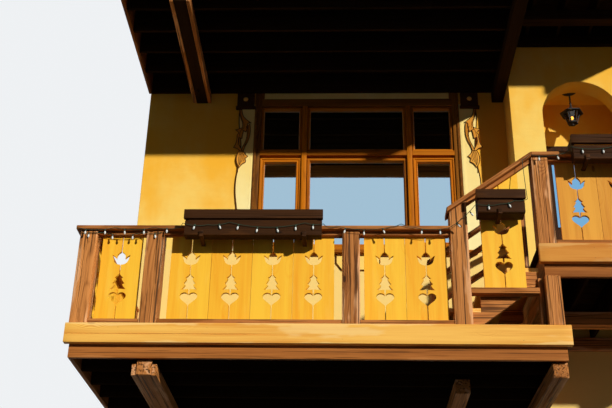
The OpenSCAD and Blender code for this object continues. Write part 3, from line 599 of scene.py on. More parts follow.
# The soffit wood's near black partly paints the shade that lies under the decks.
shaded_soffit_wood = wood("shaded soffit timber", *SOFFIT, bands=0.3, cracks=0.5, depth=0.002, gloss=0)
window_wood = wood("window wood", *WINDOW, ring=0.004, bands=0.4, depth=0.0006)
casing_wood = wood("casing wood", *CASING_WOOD, ring=0.004, bands=0.4, depth=0.0006)
SLOT = {"honey_timber": honey, "weathered_timber": weathered, "reddish_timber": reddish,
    "dark_timber": dark_wood, "soffit_timber": shaded_soffit_wood, "window_wood": window_wood}
print(len(SLOT), "woods")

# %% [markdown]
# ## Posts, planks and joists
# Posts, planks and joists are plain boxes in the frame, so each solid's box becomes one timber
# with its own seed. A post that stands in the open is waney and checked. A joist under a deck
# hardly shows, so its grid is coarse.

# %% A timber for every box of a node
slot_of = {row["node"]: row["material_slot"] for row in frame["record"]["subparts"]}
POST = {"ease": 0.009, "rough": 0.003, "checks": 5}
BEAM = {"ease": 0.008, "rough": 0.003, "checks": 4}
RAIL = {"ease": 0.004, "rough": 0.0015, "checks": 2}
PLANKS = {"step": 0.05, "pace": 0.2}
COARSE = {"checks": 1, "step": 0.07, "pace": 0.3}
STYLES = {"front_posts": POST, "wall_post": POST, "gallery_posts": POST, "support_post": POST,
    "deck_bearers": BEAM, "bearer_cheeks": RAIL, "deck_fascia": RAIL, "balcony_rails": RAIL,
    "stair_treads": RAIL, "deck_planks": PLANKS, "gallery_planks": PLANKS, "upper_planks": COARSE,
    "deck_joists": COARSE, "gallery_joists": COARSE, "upper_joists": COARSE}


def stand(name, boxes, slot, stands_for, seed, style, material=None):
    """One piece from a timber in each box, in the slot's own material unless another is given."""
    parts = [plank(low, high, seed + i, **style) for i, (low, high) in enumerate(boxes)]
    build(name, parts, material or SLOT[slot], stands_for)


for seed, (node, style) in enumerate(STYLES.items()):
    stand(node + "_timber", solids(node), slot_of[node], [node], 100 + 50 * seed, style)

# %% [markdown]
# ## Deck edges
# Each deck ends in a broad fascia on a rim joist, with side rims that run back to the masonry.
# The frame joins them into one body. On the real house they are separate boards that meet in open
# joints, so they are laid here board by board. A sheet of felt between the planks keeps the decks
# dry below, and stops daylight from showing in the gaps.

# %% Fascias and rims
FRONT, WALL, PIER = -2.36, -0.24, -0.66
PLANK, FASCIA, RIM, INSET, DROP = 0.040, (0.061, 0.188), 0.038, 0.043, 0.312
BAY, GALLERY = (-2.257, 2.257), (2.040, 4.050)
decks = {"balcony": (*BAY, 0.0, WALL, WALL), "gallery": (*GALLERY, 0.8, WALL, PIER),
    "upper": (*BAY, 4.192, WALL, WALL), "upper_gallery": (*GALLERY, 4.712, PIER, PIER)}
FELT_IN, FELT_Z = (0.05, 0.07, 0.002), (0.034, 0.031)
FELT = {"ease": 0.001, "rough": 0, "checks": 0, "step": 0.5, "pace": 0.5}


def fascia(deck):
    """The box of a deck's front board."""
    left, right, top = decks[deck][:3]
    return (left, FRONT, top - FASCIA[1]), (right, FRONT + FASCIA[0], top)


def rims(deck):
    """The boxes of the rim behind the front board and of the two side rims."""
    left, right, top, back_left, back_right = decks[deck]
    left, right, behind = left + INSET, right - INSET, FRONT + FASCIA[0]
    low, high = top - DROP, top - PLANK
    return [((left, behind, low), (right, behind + RIM, high)),
        ((left, behind + RIM, low), (left + RIM, back_left, high)),
        ((right - RIM, behind + RIM, low), (right, back_right, high))]


def felt(deck):
    """The box of the sheet that lies in the planks of a deck and closes the gaps between them."""
    left, right, top, back = decks[deck][:4]
    back = PIER if "gallery" in deck else back
    return ((left + FELT_IN[0], FRONT + FELT_IN[1], top - FELT_Z[0]),
        (right - FELT_IN[0], back - FELT_IN[2], top - FELT_Z[1]))


stand("deck_felt", [felt(deck) for deck in decks], "soffit_timber", (), 950, FELT)
stand("balcony_rims", rims("balcony"), "reddish_timber", ["deck_rims"], 900, RAIL)
# The gallery's fascia takes the darker honey, which paints the half shade lying on the gallery.
stand("gallery_fascia", [fascia("gallery")], "honey_timber", ["gallery_edge"], 910, RAIL,
    shaded_honey)
stand("gallery_rims", rims("gallery"), "reddish_timber", ["gallery_edge"], 920, RAIL)
stand("upper_fascia", [fascia("upper"), fascia("upper_gallery")], "reddish_timber", ["upper_edge"],
    930, RAIL)
stand("upper_rims", rims("upper") + rims("upper_gallery"), "reddish_timber", ["upper_edge"],
    940, RAIL)

# %% [markdown]
# ## Beams
# Two cantilever beams carry each gallery, with a cross beam between them and a ledger on the
# pier. All are sawn timbers of one size. The cantilevers run on into the masonry.

# %% Gallery and upper beams
SOFFIT_Z = 3.88
SIZE, FREE_END, IN_WALL, IN_PIER, RIGHT_BEAM, LEDGER = 0.14, -2.25, -0.08, -0.5, 3.948, 0.06


def cantilever(centre, end, top, back):
    """A beam from its free end to its pocket in the masonry."""
    return (centre - SIZE / 2, end, top - SIZE), (centre + SIZE / 2, back, top)


def beam_frame(left, left_end, left_back, cross, top):
    """The two cantilevers of a gallery, and what lies between them."""
    inner = left + SIZE / 2, RIGHT_BEAM - SIZE / 2
    return [cantilever(left, left_end, top, left_back),
        cantilever(RIGHT_BEAM, FREE_END, top, IN_PIER),
        ((inner[0], cross, top - SIZE), (inner[1], cross + SIZE, top)),
        ((inner[0], PIER - LEDGER, top - SIZE), (inner[1], PIER, top))]


stand("gallery_beam_timber", beam_frame(2.147, -2.174, IN_WALL, -1.45, 0.488), "weathered_timber",
    ["gallery_beams"], 960, BEAM)
# Beams under the upper decks take the near-black soffit wood: painted shade for their shaded
# place.
stand("upper_beam_timber", beam_frame(2.287, FREE_END, IN_PIER, -1.215, 4.4)
    + [cantilever(x, FREE_END, SOFFIT_Z, IN_WALL) for x in (-1.53, 2.147)], "soffit_timber",
    ["upper_beams"], 970, BEAM)

# %% [markdown]
# ## Handrails
# The caps are broad planks on top of the posts. Beside the stair the cap slopes, and everything
# under it follows the same line, so that line is written once: the cap's underside, 1.723 m high
# where it meets the gallery, falls 0.727 m for each metre to the left. Ends are cut plumb, which
# on a timber that slopes means that its upper edge reaches back by the slope times the depth.

# %% Level and sloping rails
RISE, GOING = 0.2, 0.275
SLOPE = RISE / GOING
TILT = math.cos(math.atan(SLOPE))
HEAD, RAIL_TOP, THICK, UNDER_RAIL = 2.044, 1.77, 0.038, 0.035


def under_cap(x):
    """Height of the underside of the sloping cap at x."""
    return RAIL_TOP - THICK / TILT - (HEAD - x) * SLOPE


def sloping(x0, x1, y0, y1, drop, depth, seed, style):
    """A timber along the slope with plumb ends; its underside is drop below that of the cap."""
    middle = (y0 + y1) / 2
    start, end = ((x, middle, under_cap(x) - drop + depth / TILT / 2) for x in (x0, x1))
    return timber(start, end, (0, 1, 0), y1 - y0, depth, seed, cuts=(SLOPE, SLOPE), **style)


def under_slope(x0, x1, y0, y1, seed, style):
    """An upright timber from the balcony deck, cut to the slope of the cap on it."""
    x, y = (x0 + x1) / 2, (y0 + y1) / 2
    return timber((x, y, 0), (x, y, under_cap(x)), (0, 1, 0), y1 - y0, x1 - x0, seed,
        cuts=(0, -SLOPE), **style)


CAP = {"ease": 0.007, "rough": 0.002, "checks": 3}
BACK, LIP = -2.165, -2.375
stand("balcony_cap", [((-2.271, LIP, 0.932), (1.235, BACK, 0.970)),
    ((-2.271, BACK, 0.932), (-2.061, WALL, 0.970))], "reddish_timber", ["handrail_cap"], 1000, CAP)
stand("gallery_rail_timber", [((HEAD, LIP, 1.732), (4.085, BACK, 1.770)),
    ((2.210, -2.330, 0.8), (3.880, -2.235, 0.85)),
    ((2.210, -2.315, 1.697), (3.880, -2.270, 1.732))], "reddish_timber", ["gallery_rails"],
    1010, CAP)
build("stair_rail_timber", [sloping(1.210, HEAD, LIP, BACK, 0, THICK, 1020, CAP),
    sloping(1.401, HEAD, -2.315, -2.270, UNDER_RAIL / TILT, UNDER_RAIL, 1021, RAIL),
    plank((1.401, -2.330, 0.312), (2.016, -2.242, 0.368), 1022, **RAIL)], reddish,
    ["stair_rails"])
build("stair_post_timber", [under_slope(1.235, 1.401, -2.340, -2.174, 1030, POST)], weathered,
    ["stair_post"])
INNER, LATH = (-1.345, -1.255), 0.07
inner_rail = [under_slope(1.125, 1.215, *INNER, 1040, BEAM),
    plank((2.050, INNER[0], 0.8), (2.140, INNER[1], 1.732), 1041, **BEAM),
    sloping(1.100, HEAD, *INNER, 0, THICK, 1042, RAIL),
    plank((HEAD, INNER[0], 1.732), (2.140, WALL, 1.770), 1043, **RAIL)]
inner_rail += [sloping(1.215, 2.050, -1.316, -1.284, drop, LATH * TILT, 1044 + i, RAIL)
    for i, drop in enumerate((0.24, 0.52))]
inner_rail += [plank((2.080, INNER[1], z), (2.112, WALL, z + LATH), 1046 + i, **RAIL)
    for i, z in enumerate((0.92, 1.23, 1.54))]
build("inner_rail_timber", inner_rail, weathered, ["stair_inner_rail"])

# %% [markdown]
# ## Flower boxes
# A flower box is nailed up from dark boards. The upper front board laps out over the lower one,
# with a gap between them, and two arms under the box hook round its foot. A long box steps up at
# the handrail and rests on it. Each board is a timber, so that the joints between boards show as
# joints.

# %% Boards of a flower box
BOX, WALLS, LAP, LAP_OUT, LAP_ENDS, GAP = -2.48, 0.022, 0.095, 0.020, 0.012, 0.014
ARM, ARM_DEPTH, ARM_OUT, ARM_BACK, HOOK = 0.02, 0.022, 0.018, -2.27, 0.038
BOARD = {"ease": 0.003, "rough": 0.0012}


def flower_box(name, left, low, length, height, arms, back, step, seed):
    """Front boards, ends, floors and backs of a box, and the arms under it."""
    right, high = left + length, low + height
    inside = left + WALLS, right - WALLS
    rest = LIP if step else back
    boxes = [((left, BOX, low), (right, BOX + WALLS, high - LAP - GAP)),
        ((left - LAP_ENDS, BOX - LAP_OUT, high - LAP), (right + LAP_ENDS, BOX + WALLS, high)),
        ((inside[0], BOX + WALLS, low), (inside[1], rest, low + WALLS))]
    boxes += [((x, BOX + WALLS, low), (x + WALLS, rest, high)) for x in (left, inside[1])]
    if step:
        ledge = low + step
        boxes += [((inside[0], rest - WALLS, low + WALLS), (inside[1], rest, ledge)),
            ((inside[0], rest, ledge), (inside[1], back - WALLS, ledge + WALLS))]
        boxes += [((x, rest, ledge), (x + WALLS, back, high)) for x in (left, inside[1])]
        boxes += [((inside[0], back - WALLS, ledge), (inside[1], back, high))]
    else:
        boxes += [((inside[0], back - WALLS, low + WALLS), (inside[1], back, high))]
    for x in arms:
        boxes += [((x - ARM, BOX - ARM_OUT, low - ARM_DEPTH), (x + ARM, ARM_BACK, low)),
            ((x - ARM, BOX - ARM_OUT, low), (x + ARM, BOX, low + HOOK))]
    stand(name + "_boards", boxes, "dark_timber", [name], seed, BOARD)


LONG, ON_CAP = (1.27, 0.258), LIP + 0.1
flower_box("long_flower_box", -1.228, 0.817, *LONG, (-1.068, -0.118), ON_CAP, 0.153, 1100)
flower_box("stair_flower_box", 1.488, 1.055, 0.434, 0.235, (1.688,), -2.315, 0, 1130)
flower_box("gallery_flower_box", 2.426, 1.628, *LONG, (2.551, 3.571), ON_CAP, 0.142, 1150)

# %% [markdown]
# ## The window's frame
# The window is joinery in a masonry opening: a casing all round, two slim mullions and a transom
# that stand proud, and a sill that throws the rain off. Each member is a timber of its own, so
# that their joints show. A twisted bead, as carvers make it, runs up the outer edge of each
# casing. It is three strands wound round one line: at height z, strand k has made z over the
# pitch plus a k-th third of a turn.

# %% Casing, mullions, transom and sill
WINDOW_X, SILL, HALF, TALL = 0.408, 1.69, 1.303, 2.086
HEAD_Z = 3.689, 3.795
CASING = (-0.862, -0.780), (1.580, 1.662)
MULLION = (-0.2695, -0.2075), (1.0075, 1.0695)
TRANSOM = 2.977, 3.045
SILL_RAIL, SILL_END, SILL_THICK, SILL_DEEP = 0.07, 0.066, 0.036, (-0.312, -0.205)
CASING_FACE, HEAD_FACE, MULLION_FACE, TRANSOM_FACE = -0.250, -0.248, -0.258, -0.252
FRAME_BACK, BAR_BACK = -0.12, -0.13
FILLET, FILLET_HALF, FILLET_BACK = (-0.7635, 1.5635), 0.0165, -0.21
PLANED = {"ease": 0.004, "rough": 0.0008, "checks": 0}
uprights = CASING[0], *MULLION, CASING[1]
columns = [(a[1], b[0]) for a, b in zip(uprights, uprights[1:])]
rows = [(SILL + SILL_RAIL, TRANSOM[0]), (TRANSOM[1], HEAD_Z[0])]
joinery = [((x0, MULLION_FACE, rows[0][0]), (x1, BAR_BACK, rows[1][1])) for x0, x1 in MULLION]
joinery += [((x0, TRANSOM_FACE, TRANSOM[0]), (x1, BAR_BACK, TRANSOM[1])) for x0, x1 in columns]
joinery += [((columns[0][0], HEAD_FACE, SILL), (columns[2][1], FRAME_BACK, rows[0][0])),
    ((WINDOW_X - HALF - SILL_END, SILL_DEEP[0], SILL - SILL_THICK),
     (WINDOW_X + HALF + SILL_END, SILL_DEEP[1], SILL))]
casing = [((x0, CASING_FACE, SILL), (x1, FRAME_BACK, SOFFIT_Z)) for x0, x1 in CASING]
casing.append(((columns[0][0], HEAD_FACE, HEAD_Z[0]), (columns[2][1], FRAME_BACK, HEAD_Z[1])))
casing += [((x - FILLET_HALF, CASING_FACE, HEAD_Z[1]), (x + FILLET_HALF, FILLET_BACK, SOFFIT_Z))
    for x in FILLET]
stand("window_joinery", joinery, "window_wood", ["window_frame"], 1200, PLANED)
stand("window_casing", casing, "window_wood", ["window_frame"], 1210, PLANED, casing_wood)


def twisted_bead(x, y, low, high, pitch=0.12, strand=0.010, reach=0.009):
    """Three strands wound round an upright line, with the grain along each strand."""
    z = np.linspace(low, high, int((high - low) / pitch * 12))
    beads = []
    for k in range(3):
        angle = 2 * np.pi * (z / pitch + k / 3)
        path = np.stack([x + reach * np.cos(angle), y + reach * np.sin(angle), z], axis=-1)
        bead = tube(path, strand, 8)
        bead["grain"] = np.stack([bead["points"][:, 2] + k, bead["points"][:, 0] - x,
            bead["points"][:, 1] - y + 0.05], axis=-1)
        beads.append(bead)
    return beads


BEAD_IN, BEAD_FACE = 0.021, -0.252
build("casing_beads", [strand for x in (CASING[0][0] + BEAD_IN, CASING[1][1] - BEAD_IN)
    for strand in twisted_bead(x, BEAD_FACE, SILL + 0.01, HEAD_Z[0])], casing_wood,
    ["window_frame"])

# %% [markdown]
# ## Moulded sashes
# Every light has a sash whose four bars carry the same moulding and meet in mitres. A moulding is
# a closed profile of depth against distance from the sash's edge. Each bar carries it straight
# from corner to corner, and because both of its ends lie on the diagonals, a point that is
# further in is also further along: that alone makes the mitres. A plainer profile makes the stops
# behind the sashes. The casements at the sides have broad bars, and the fixed lights slim ones.

# %% Mitred bars
REBATE, LIGHT_GAP, HEAD_GAP = 0.012, 0.010, 0.031
GLASS = -0.184, -0.178
FLAT_SIDES = 20


def mitred(left, right, low, high, profile, seed):
    """Four bars round a light, each a prism whose ends lie on the light's diagonals."""
    profile = np.array(profile, float)
    corners = np.array([(left, low), (right, low), (right, high), (left, high)])
    diagonals = np.array([(1, 1), (-1, 1), (-1, -1), (1, -1)])
    draw, bars = np.random.default_rng(seed), []
    for i in range(4):
        pair = [i, (i + 1) % 4]
        flat = corners[pair][:, None] + profile[None, :, 1:] * diagonals[pair][:, None]
        deep = np.broadcast_to(profile[:, 0], flat.shape[:2])
        grid = np.stack([flat[..., 0], deep, flat[..., 1]], axis=-1)
        points = np.concatenate([grid.reshape(-1, 3), grid.mean(axis=1)])
        across = np.concatenate([np.tile(profile[:, 1], 2), [profile[:, 1].mean()] * 2])
        grain = np.stack([points[:, 2 * (i % 2)] + draw.uniform(0, 30), across - 0.03,
            points[:, 1] + 0.26], axis=-1)
        bars.append(part(points, [quads(2, len(profile)), *lids(2, len(profile))], grain,
            draw.uniform()))
    return bars


def casement(w):
    """Profile of a broad bar w wide: a rounded rim, a sunk flat and a bead beside the glass."""
    return [(-0.236, 0), (-0.160, 0), (-0.160, w), (-0.190, w), (-0.229, w - 0.006),
        (-0.232, w - 0.009), (-0.232, w - 0.014), (-0.2255, w - 0.018), (-0.2255, 0.024),
        (-0.234, 0.019), (-0.238, 0.013), (-0.238, 0.004)]


def fixed(w):
    """Profile of a slim bar w wide with one sloping edge beside the glass."""
    return [(-0.226, 0), (-0.160, 0), (-0.160, w), (-0.190, w), (-0.216, w - 0.008),
        (-0.222, w - 0.010), (-0.226, w - 0.015)]

# %% Bars, stops and panes of the six lights
WIDE = (0.056, 0.037, 0.056), (0.03, 0.03, 0.03)
STOP = [(-0.200, -0.004), (-0.130, -0.004), (-0.130, 0.03), (-0.200, 0.03)]
bars, stops, panes = [], [], []
for c, (left, right) in enumerate(columns):
    for r, (low, high) in enumerate(rows):
        wide = WIDE[r][c]
        shape = fixed(wide) if r or c == 1 else casement(wide)
        edges = (left + LIGHT_GAP, right - LIGHT_GAP, low + LIGHT_GAP,
            high - (LIGHT_GAP if r else HEAD_GAP))
        bars += mitred(*edges, shape, 1230 + 2 * c + r)
        stops += mitred(left, right, low, high, STOP, 1240 + 2 * c + r)
        inset = wide - REBATE
        panes.append(((edges[0] + inset, GLASS[0], edges[2] + inset),
            (edges[1] - inset, GLASS[1], edges[3] - inset)))
build("sash_mouldings", bars, window_wood, ["window_sashes"], FLAT_SIDES)
build("sash_stops", stops, window_wood, ["window_frame"], FLAT_SIDES)

# %% [markdown]
# ## Glass
# From the street a window in daylight shows little but reflections. Its panes are thin sheets
# with the slight waves of rolled glass, and the material reflects like a mirror with a blue tint,
# which paints the blue of a sky into what the panes reflect: a painted reflection.
# Real refraction would show only the empty house behind. A sheet is a grid whose front and back
# lie at y + 0.06 mm times the same smooth noise.

# %% Panes
WAVE = 0.00006


def pane(low, high, seed, step=0.06):
    """A sheet of rolled glass between two corners: a wavy grid in front, one behind, and a rim."""
    (x0, y0, z0), (x1, y1, z1) = low, high
    x, z = (np.linspace(a, b, int((b - a) / step) + 2) for a, b in ((x0, x1), (z0, z1)))
    flat = np.stack(np.meshgrid(x, [0.0], z, indexing="ij"), axis=-1).reshape(-1, 3)
    wave = WAVE * waves(flat * [0.6, 1, 0.6], seed)
    front, back = (flat + np.stack([0 * wave, y + wave, 0 * wave], axis=-1) for y in (y0, y1))
    index = np.arange(len(flat)).reshape(len(x), len(z))
    face = np.stack([index[:-1, :-1], index[1:, :-1], index[1:, 1:], index[:-1, 1:]],
        axis=-1).reshape(-1, 4)
    rim = np.concatenate([index[:, 0], index[-1, 1:], index[-2::-1, -1], index[0, -2:0:-1]])
    after, behind = np.roll(rim, -1), len(flat)
    side = np.stack([rim, rim + behind, after + behind, after], axis=-1)
    return part(np.concatenate([front, back]), [face, face[:, ::-1] + behind, side])


def mirroring(name, colour):
    """Glass in daylight: smooth, reflecting as a metal does, and tinted by its colour, which
    paints a sky's blue into the reflection.
    """
    material, _, shader = surface(name, colour, 0.02, 0.5)
    shader.inputs["Metallic"].default_value = 1.0
    return material


# The pale blue of the window glass paints a sky into its reflections.
build("window_panes", [pane(low, high, 1260 + i) for i, (low, high) in enumerate(panes)],
    mirroring("window glass", rgb(173, 203, 222)), ["window_glass"])

# %% [markdown]
# ## Stucco
# The walls are trowelled lime stucco over brick. Its colour is mottled where the wash took
# unevenly, and its face has flat trowel strokes with fine sand between them: two noises, one
# stretched. The wash changes colour at the height of the window sill, so the group also takes a
# height at which the lower colours end.

# %% Node group for trowelled plaster
plaster_tree, given, gives = effect("trowelled plaster", {"Vector": ["Place"],
    "Float": ["Border", "Fade"], "Color": ["Light", "Dark", "Low light", "Low dark"]})
p = plaster_tree
mottle, runs, strokes, sand = (noise(p, given["Place"], factors, detail, rough)
    for factors, detail, rough in (((1.6, 1.6, 1.1), 4, 0.55), ((7, 7, 0.9), 3, 0.5),
        ((5, 5, 11), 3, 0.45), ((240, 240, 240), 2, 0.5)))
high_up = axes_of(p, given["Place"])[2]
faded = between(p, calc(p, "SUBTRACT", high_up, given["Fade"]), -0.9, 0.9, -0.22, 0.22)
share = between(p, calc(p, "ADD", scaled(p, runs, 0.14, mottle), faded), 0.34, 0.84)
tall = calc(p, "GREATER_THAN", scaled(p, strokes, 0.006, high_up), given["Border"])
colour = blend(p, tall, blend(p, share, given["Low light"], given["Low dark"]),
    blend(p, share, given["Light"], given["Dark"]))
gives(colour, scaled(p, sand, 0.15, 0.78), scaled(p, sand, 0.22, strokes))


def plaster(name, wash, low_wash, border, fade, depth=0.004):
    """Trowelled plaster in the two colours of one wash, and below border in those of another. It
    turns paler below the height where fade lies."""
    material, tree, shader = surface(name, wash[0], 0.85, 0.1)
    dress(tree, shader, plaster_tree, {"Place": coordinates(tree), "Border": border, "Fade": fade,
        **opaque(("Light", "Dark", "Low light", "Low dark"), (*wash, *low_wash))}, depth)
    return material

# %% Washes and paints
OCHRE = rgb(255, 218, 116), rgb(252, 186, 54)
CREAM = rgb(255, 242, 176), rgb(254, 226, 140)
CHALK = rgb(252, 218, 132), rgb(244, 200, 104)
BROWN = rgb(96, 58, 24), rgb(58, 32, 12)
LEAF = rgb(250, 190, 84), rgb(214, 138, 44)
HEAD_BLOCK = 0.14
BLOCK_FOOT = SILL + TALL - HEAD_BLOCK
WALL_CHANGE, PIER_CHANGE = 1.72, 0.45
stucco = plaster("ochre stucco", OCHRE, CHALK, WALL_CHANGE, 2.5)
pier_stucco = plaster("ochre pier stucco", OCHRE, CHALK, PIER_CHANGE, 3.5)
cream = plaster("cream stucco", CREAM, OCHRE, SILL - 0.03, 2.6, 0.003)
leaf_paint = plaster("leaf paint", BROWN, LEAF, BLOCK_FOOT - 0.01, 3.0, 0.002)
line_paint = plaster("line paint", BROWN, BROWN, 0, 3.0, 0.001)
print("the wash changes at", WALL_CHANGE, "m on the wall and at", PIER_CHANGE, "m on the pier")

# %% [markdown]
# ## Painted outlines
# A dark brown line is drawn round the raised bands, round the pendant below the window and round
# each leaf of the scrolls, with veins on the leaves. Seen close, such a line is a bead of thick
# paint, so it is a thin tube pressed half into the plaster. The bands' outer edge swings in and
# out twice on its way up: its distance from the window's middle is a constant plus 22 mm times
# the cosine of two turns over the height. A leaf is a chain of curves, each from a through the
# pull of b to c: (1 - t)^2 a + 2 t (1 - t) b + t^2 c.

# %% Outline beads
BAND_FACE, LEAF_FACE = -0.254, -0.264
BAND_OUT, BAND_SWING = 0.138, 0.022


def band_edge(side, steps=96):
    """Points up the wavy outer edge of a band, in front of the plaster."""
    t = np.linspace(0, 1, steps + 1)
    out = BAND_OUT + BAND_SWING * np.cos(np.radians(720 * t + 40))
    x = WINDOW_X + side * (HALF + out)
    return np.stack([x, np.full_like(t, BAND_FACE), SILL + (TALL - HEAD_BLOCK) * t], axis=-1)


def curves(corners, side, steps=6):
    """A line of curves on a scroll. corners are in millimetres from the window's edge and the foot
    of the head block: each second point pulls the line, and it goes through the others."""
    corners = np.array(corners, float) / 1000
    a, b, c = corners[:-2:2, None], corners[1:-1:2, None], corners[2::2, None]
    t = np.arange(steps)[:, None] / steps
    line = ((1 - t) ** 2 * a + 2 * t * (1 - t) * b + t ** 2 * c).reshape(-1, 2)
    line = np.concatenate([line, corners[-1:]])
    return np.stack([WINDOW_X + side * (HALF + line[:, 0]), np.full(len(line), LEAF_FACE),
        BLOCK_FOOT + line[:, 1]], axis=-1)

# %% Lines of the leaves and the pendant
LEAF_LINES = [
    [(160, 0), (152, -110), (122, -170), (98, -230), (118, -300), (84, -318), (66, -336),
     (36, -270), (52, -222), (30, -190), (6, -204), (66, -160), (104, -110), (126, -60), (130, 0)],
    [(22, -214), (-10, -400), (62, -528), (74, -560), (84, -604), (96, -604), (108, -600),
     (96, -540), (82, -520), (26, -390), (62, -250)],
    [(108, -270), (150, -292), (196, -302), (160, -326), (152, -350), (176, -372), (170, -400),
     (172, -470), (184, -510), (196, -530), (206, -556), (160, -560), (130, -604), (112, -604),
     (98, -604), (124, -548), (140, -520), (150, -460), (146, -410), (130, -424), (110, -430),
     (108, -370), (92, -310)],
    [(84, -596), (78, -640), (24, -682), (54, -700), (58, -720), (44, -742), (52, -764),
     (94, -776), (122, -838), (174, -760), (164, -690), (160, -640), (130, -596)],
    [(134, -805), (139, -850), (140, -905)]]
VEINS = [
    [(146, -20), (138, -120), (108, -180), (80, -236), (98, -290)],
    [(42, -236), (14, -400), (74, -540)],
    [(120, -300), (140, -330), (140, -370), (158, -420), (154, -520)],
    [(96, -604), (100, -690), (118, -800)], [(108, -604), (124, -690), (122, -800)],
    [(120, -604), (148, -690), (128, -800)], [(90, -620), (76, -680), (100, -760)],
    [(80, -650), (62, -690), (76, -750)]]
PENDANT = [(-0.25, -0.036), (-0.25, -0.146), (-0.184, -0.233), (0.184, -0.233), (0.25, -0.146),
    (0.25, -0.036)]
pendant = [(WINDOW_X + x, BAND_FACE, SILL + z) for x, z in PENDANT]
BROAD_LINE, LEAF_LINE, VEIN = 0.006, 0.0045, 0.003
outlines = [tube(line, BROAD_LINE) for line in (band_edge(-1), band_edge(1), pendant)]
for side in (-1, 1):
    outlines += [tube(curves(line, side), LEAF_LINE, 6) for line in LEAF_LINES]
    outlines += [tube(curves(line, side), VEIN, 6, 0.7) for line in VEINS]
build("painted_outlines", outlines, line_paint)

# %% [markdown]
# ## Rosettes
# The round boss on each head block carries a carved rosette in a paler colour. It is a turned
# button whose radius swings eight times round: r + swing times the cosine of eight turns, where
# swing is 1.5 mm at the rim, 2.5 mm on the petals and nothing on the bead in the middle.

# %% Turned buttons
BOSS = HALF + 0.084, -0.290, BLOCK_FOOT + 0.127
ROSETTE = np.array([(0.029, 0.004, 0.0015), (0.029, -0.002, 0.0015), (0.024, -0.006, 0.0025),
    (0.014, -0.004, 0), (0.011, -0.004, 0), (0.0108, -0.008, 0), (0.007, -0.011, 0)])


def rosette(place, petals=8, sides=96):
    """A button that faces the street, with a round bead in its middle and petals about it. Each
    row of ROSETTE gives a ring's radius, its depth and how far its radius swings."""
    turn = np.linspace(0, 2 * np.pi, sides, endpoint=False)
    radii = ROSETTE[:, :1] + np.cos(petals * turn) * ROSETTE[:, 2:]
    rings = np.stack([place[0] + radii * np.cos(turn), place[1] + ROSETTE[:, 1:2] + 0 * radii,
        place[2] + radii * np.sin(turn)], axis=-1)
    poles = [np.add(place, (0, 0.004, 0)), np.add(place, (0, -0.012, 0))]
    return part(np.concatenate([rings.reshape(-1, 3), poles]),
        [quads(len(ROSETTE), sides), *lids(len(ROSETTE), sides)])


pale_paint = plaster("pale paint", CHALK, CHALK, 0, 3.0, 0.001)
build("head_rosettes", [rosette((WINDOW_X + side * BOSS[0], *BOSS[1:])) for side in (-1, 1)],
    pale_paint)

# %% [markdown]
# ## Plaster round the casing
# The plaster returns into the opening and ends against the casing in a narrow margin, and a plain
# strip fills the space between the window's head and the joists. These are thin slabs of the same
# plaster as the bands.

# %% Margins and head strip
MARGIN_REACH, MARGIN_BACK, MARGIN_TOP = HALF + 0.003, -0.2, 3.71
margins = [((x0, BAND_FACE, SILL), (x1, MARGIN_BACK, MARGIN_TOP)) for x0, x1 in
    ((WINDOW_X - MARGIN_REACH, CASING[0][0]), (CASING[1][1], WINDOW_X + MARGIN_REACH))]
STRIP = -0.246, -0.205
margins.append(((FILLET[0] + FILLET_HALF, STRIP[0], HEAD_Z[1]),
    (FILLET[1] - FILLET_HALF, STRIP[1], SOFFIT_Z)))
SLAB = {"ease": 0.002, "rough": 0.001, "checks": 0, "step": 0.02}
stand("plaster_margins", margins, "cream_plaster", (), 1300, SLAB, cream)

# %% [markdown]
# ## Finishes for nodes that stay
# A node whose shape is already right keeps its mesh. It takes a material and, where light should
# catch its edges, a small bevel. The frame's triangles are loose, so they are welded first.

# %% Put a material and an edge on a node


def finish(node, material, slot, edge=0.0):
    """Gives a CAD node its material, and eases its edges by that many metres. slot is not used."""
    print(node, "keeps its mesh, in", material.name)
    piece = nodes[node]
    piece.data.materials.clear()
    piece.data.materials.append(material)
    if edge:
        weld = piece.modifiers.new("weld", "WELD")
        weld.merge_threshold = 0.0001
        ease = piece.modifiers.new("ease", "BEVEL")
        ease.width = edge
        ease.segments = 2
        ease.limit_method = "ANGLE"
        ease.angle_limit = math.radians(35)


finish("house_wall", stucco, "plaster", edge=0.004)
finish("gallery_pier", pier_stucco, "plaster", edge=0.004)
finish("window_surround", cream, "cream_plaster")
finish("scroll_ornaments", leaf_paint, "scroll_paint", edge=0.003)

# %% Golden boards, stringers and door
GOLD = rgb(255, 200, 56), rgb(244, 160, 26), rgb(196, 104, 16), rgb(255, 216, 104)
# The second gold is GOLD made darker: painted shade for the half shade lying on the gallery.
SHADED_GOLD = rgb(232, 164, 54), rgb(200, 124, 26), rgb(160, 84, 16), rgb(240, 188, 92)
RAILING_BOARD, HALF_JOINT = 0.191, 0.0015
for node in ("narrow_panel", "wide_panel", "right_panel", "gallery_panel", "stair_panel",
        "side_panel"):
    across = 1 if node == "side_panel" else 0
    boards = 2, across, RAILING_BOARD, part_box(node)[0][across] - HALF_JOINT
    # The gallery's boards take the darker gold, which paints the half shade on them.
    colours = SHADED_GOLD if node == "gallery_panel" else GOLD
    finish(node, wood("golden " + node, *colours, ring=0.009, bands=0.18, patches=0.2,
        depth=0.0008, boards=boards, gloss=0.2), "golden_board", edge=0.0025)
stringer_wood = wood("stringer timber", *WEATHERED, bands=0.35, cracks=0.8, patches=0.6,
    depth=0.0025, boards=(0, 2, 0.6, -0.05))
door_wood = wood("door boards", *DARK, bands=0.4, cracks=0.2, boards=(2, 0, 0.12, 2.565))
finish("stair_stringers", stringer_wood, "weathered_timber", edge=0.004)
finish("gallery_door", door_wood, "dark_timber", edge=0.004)

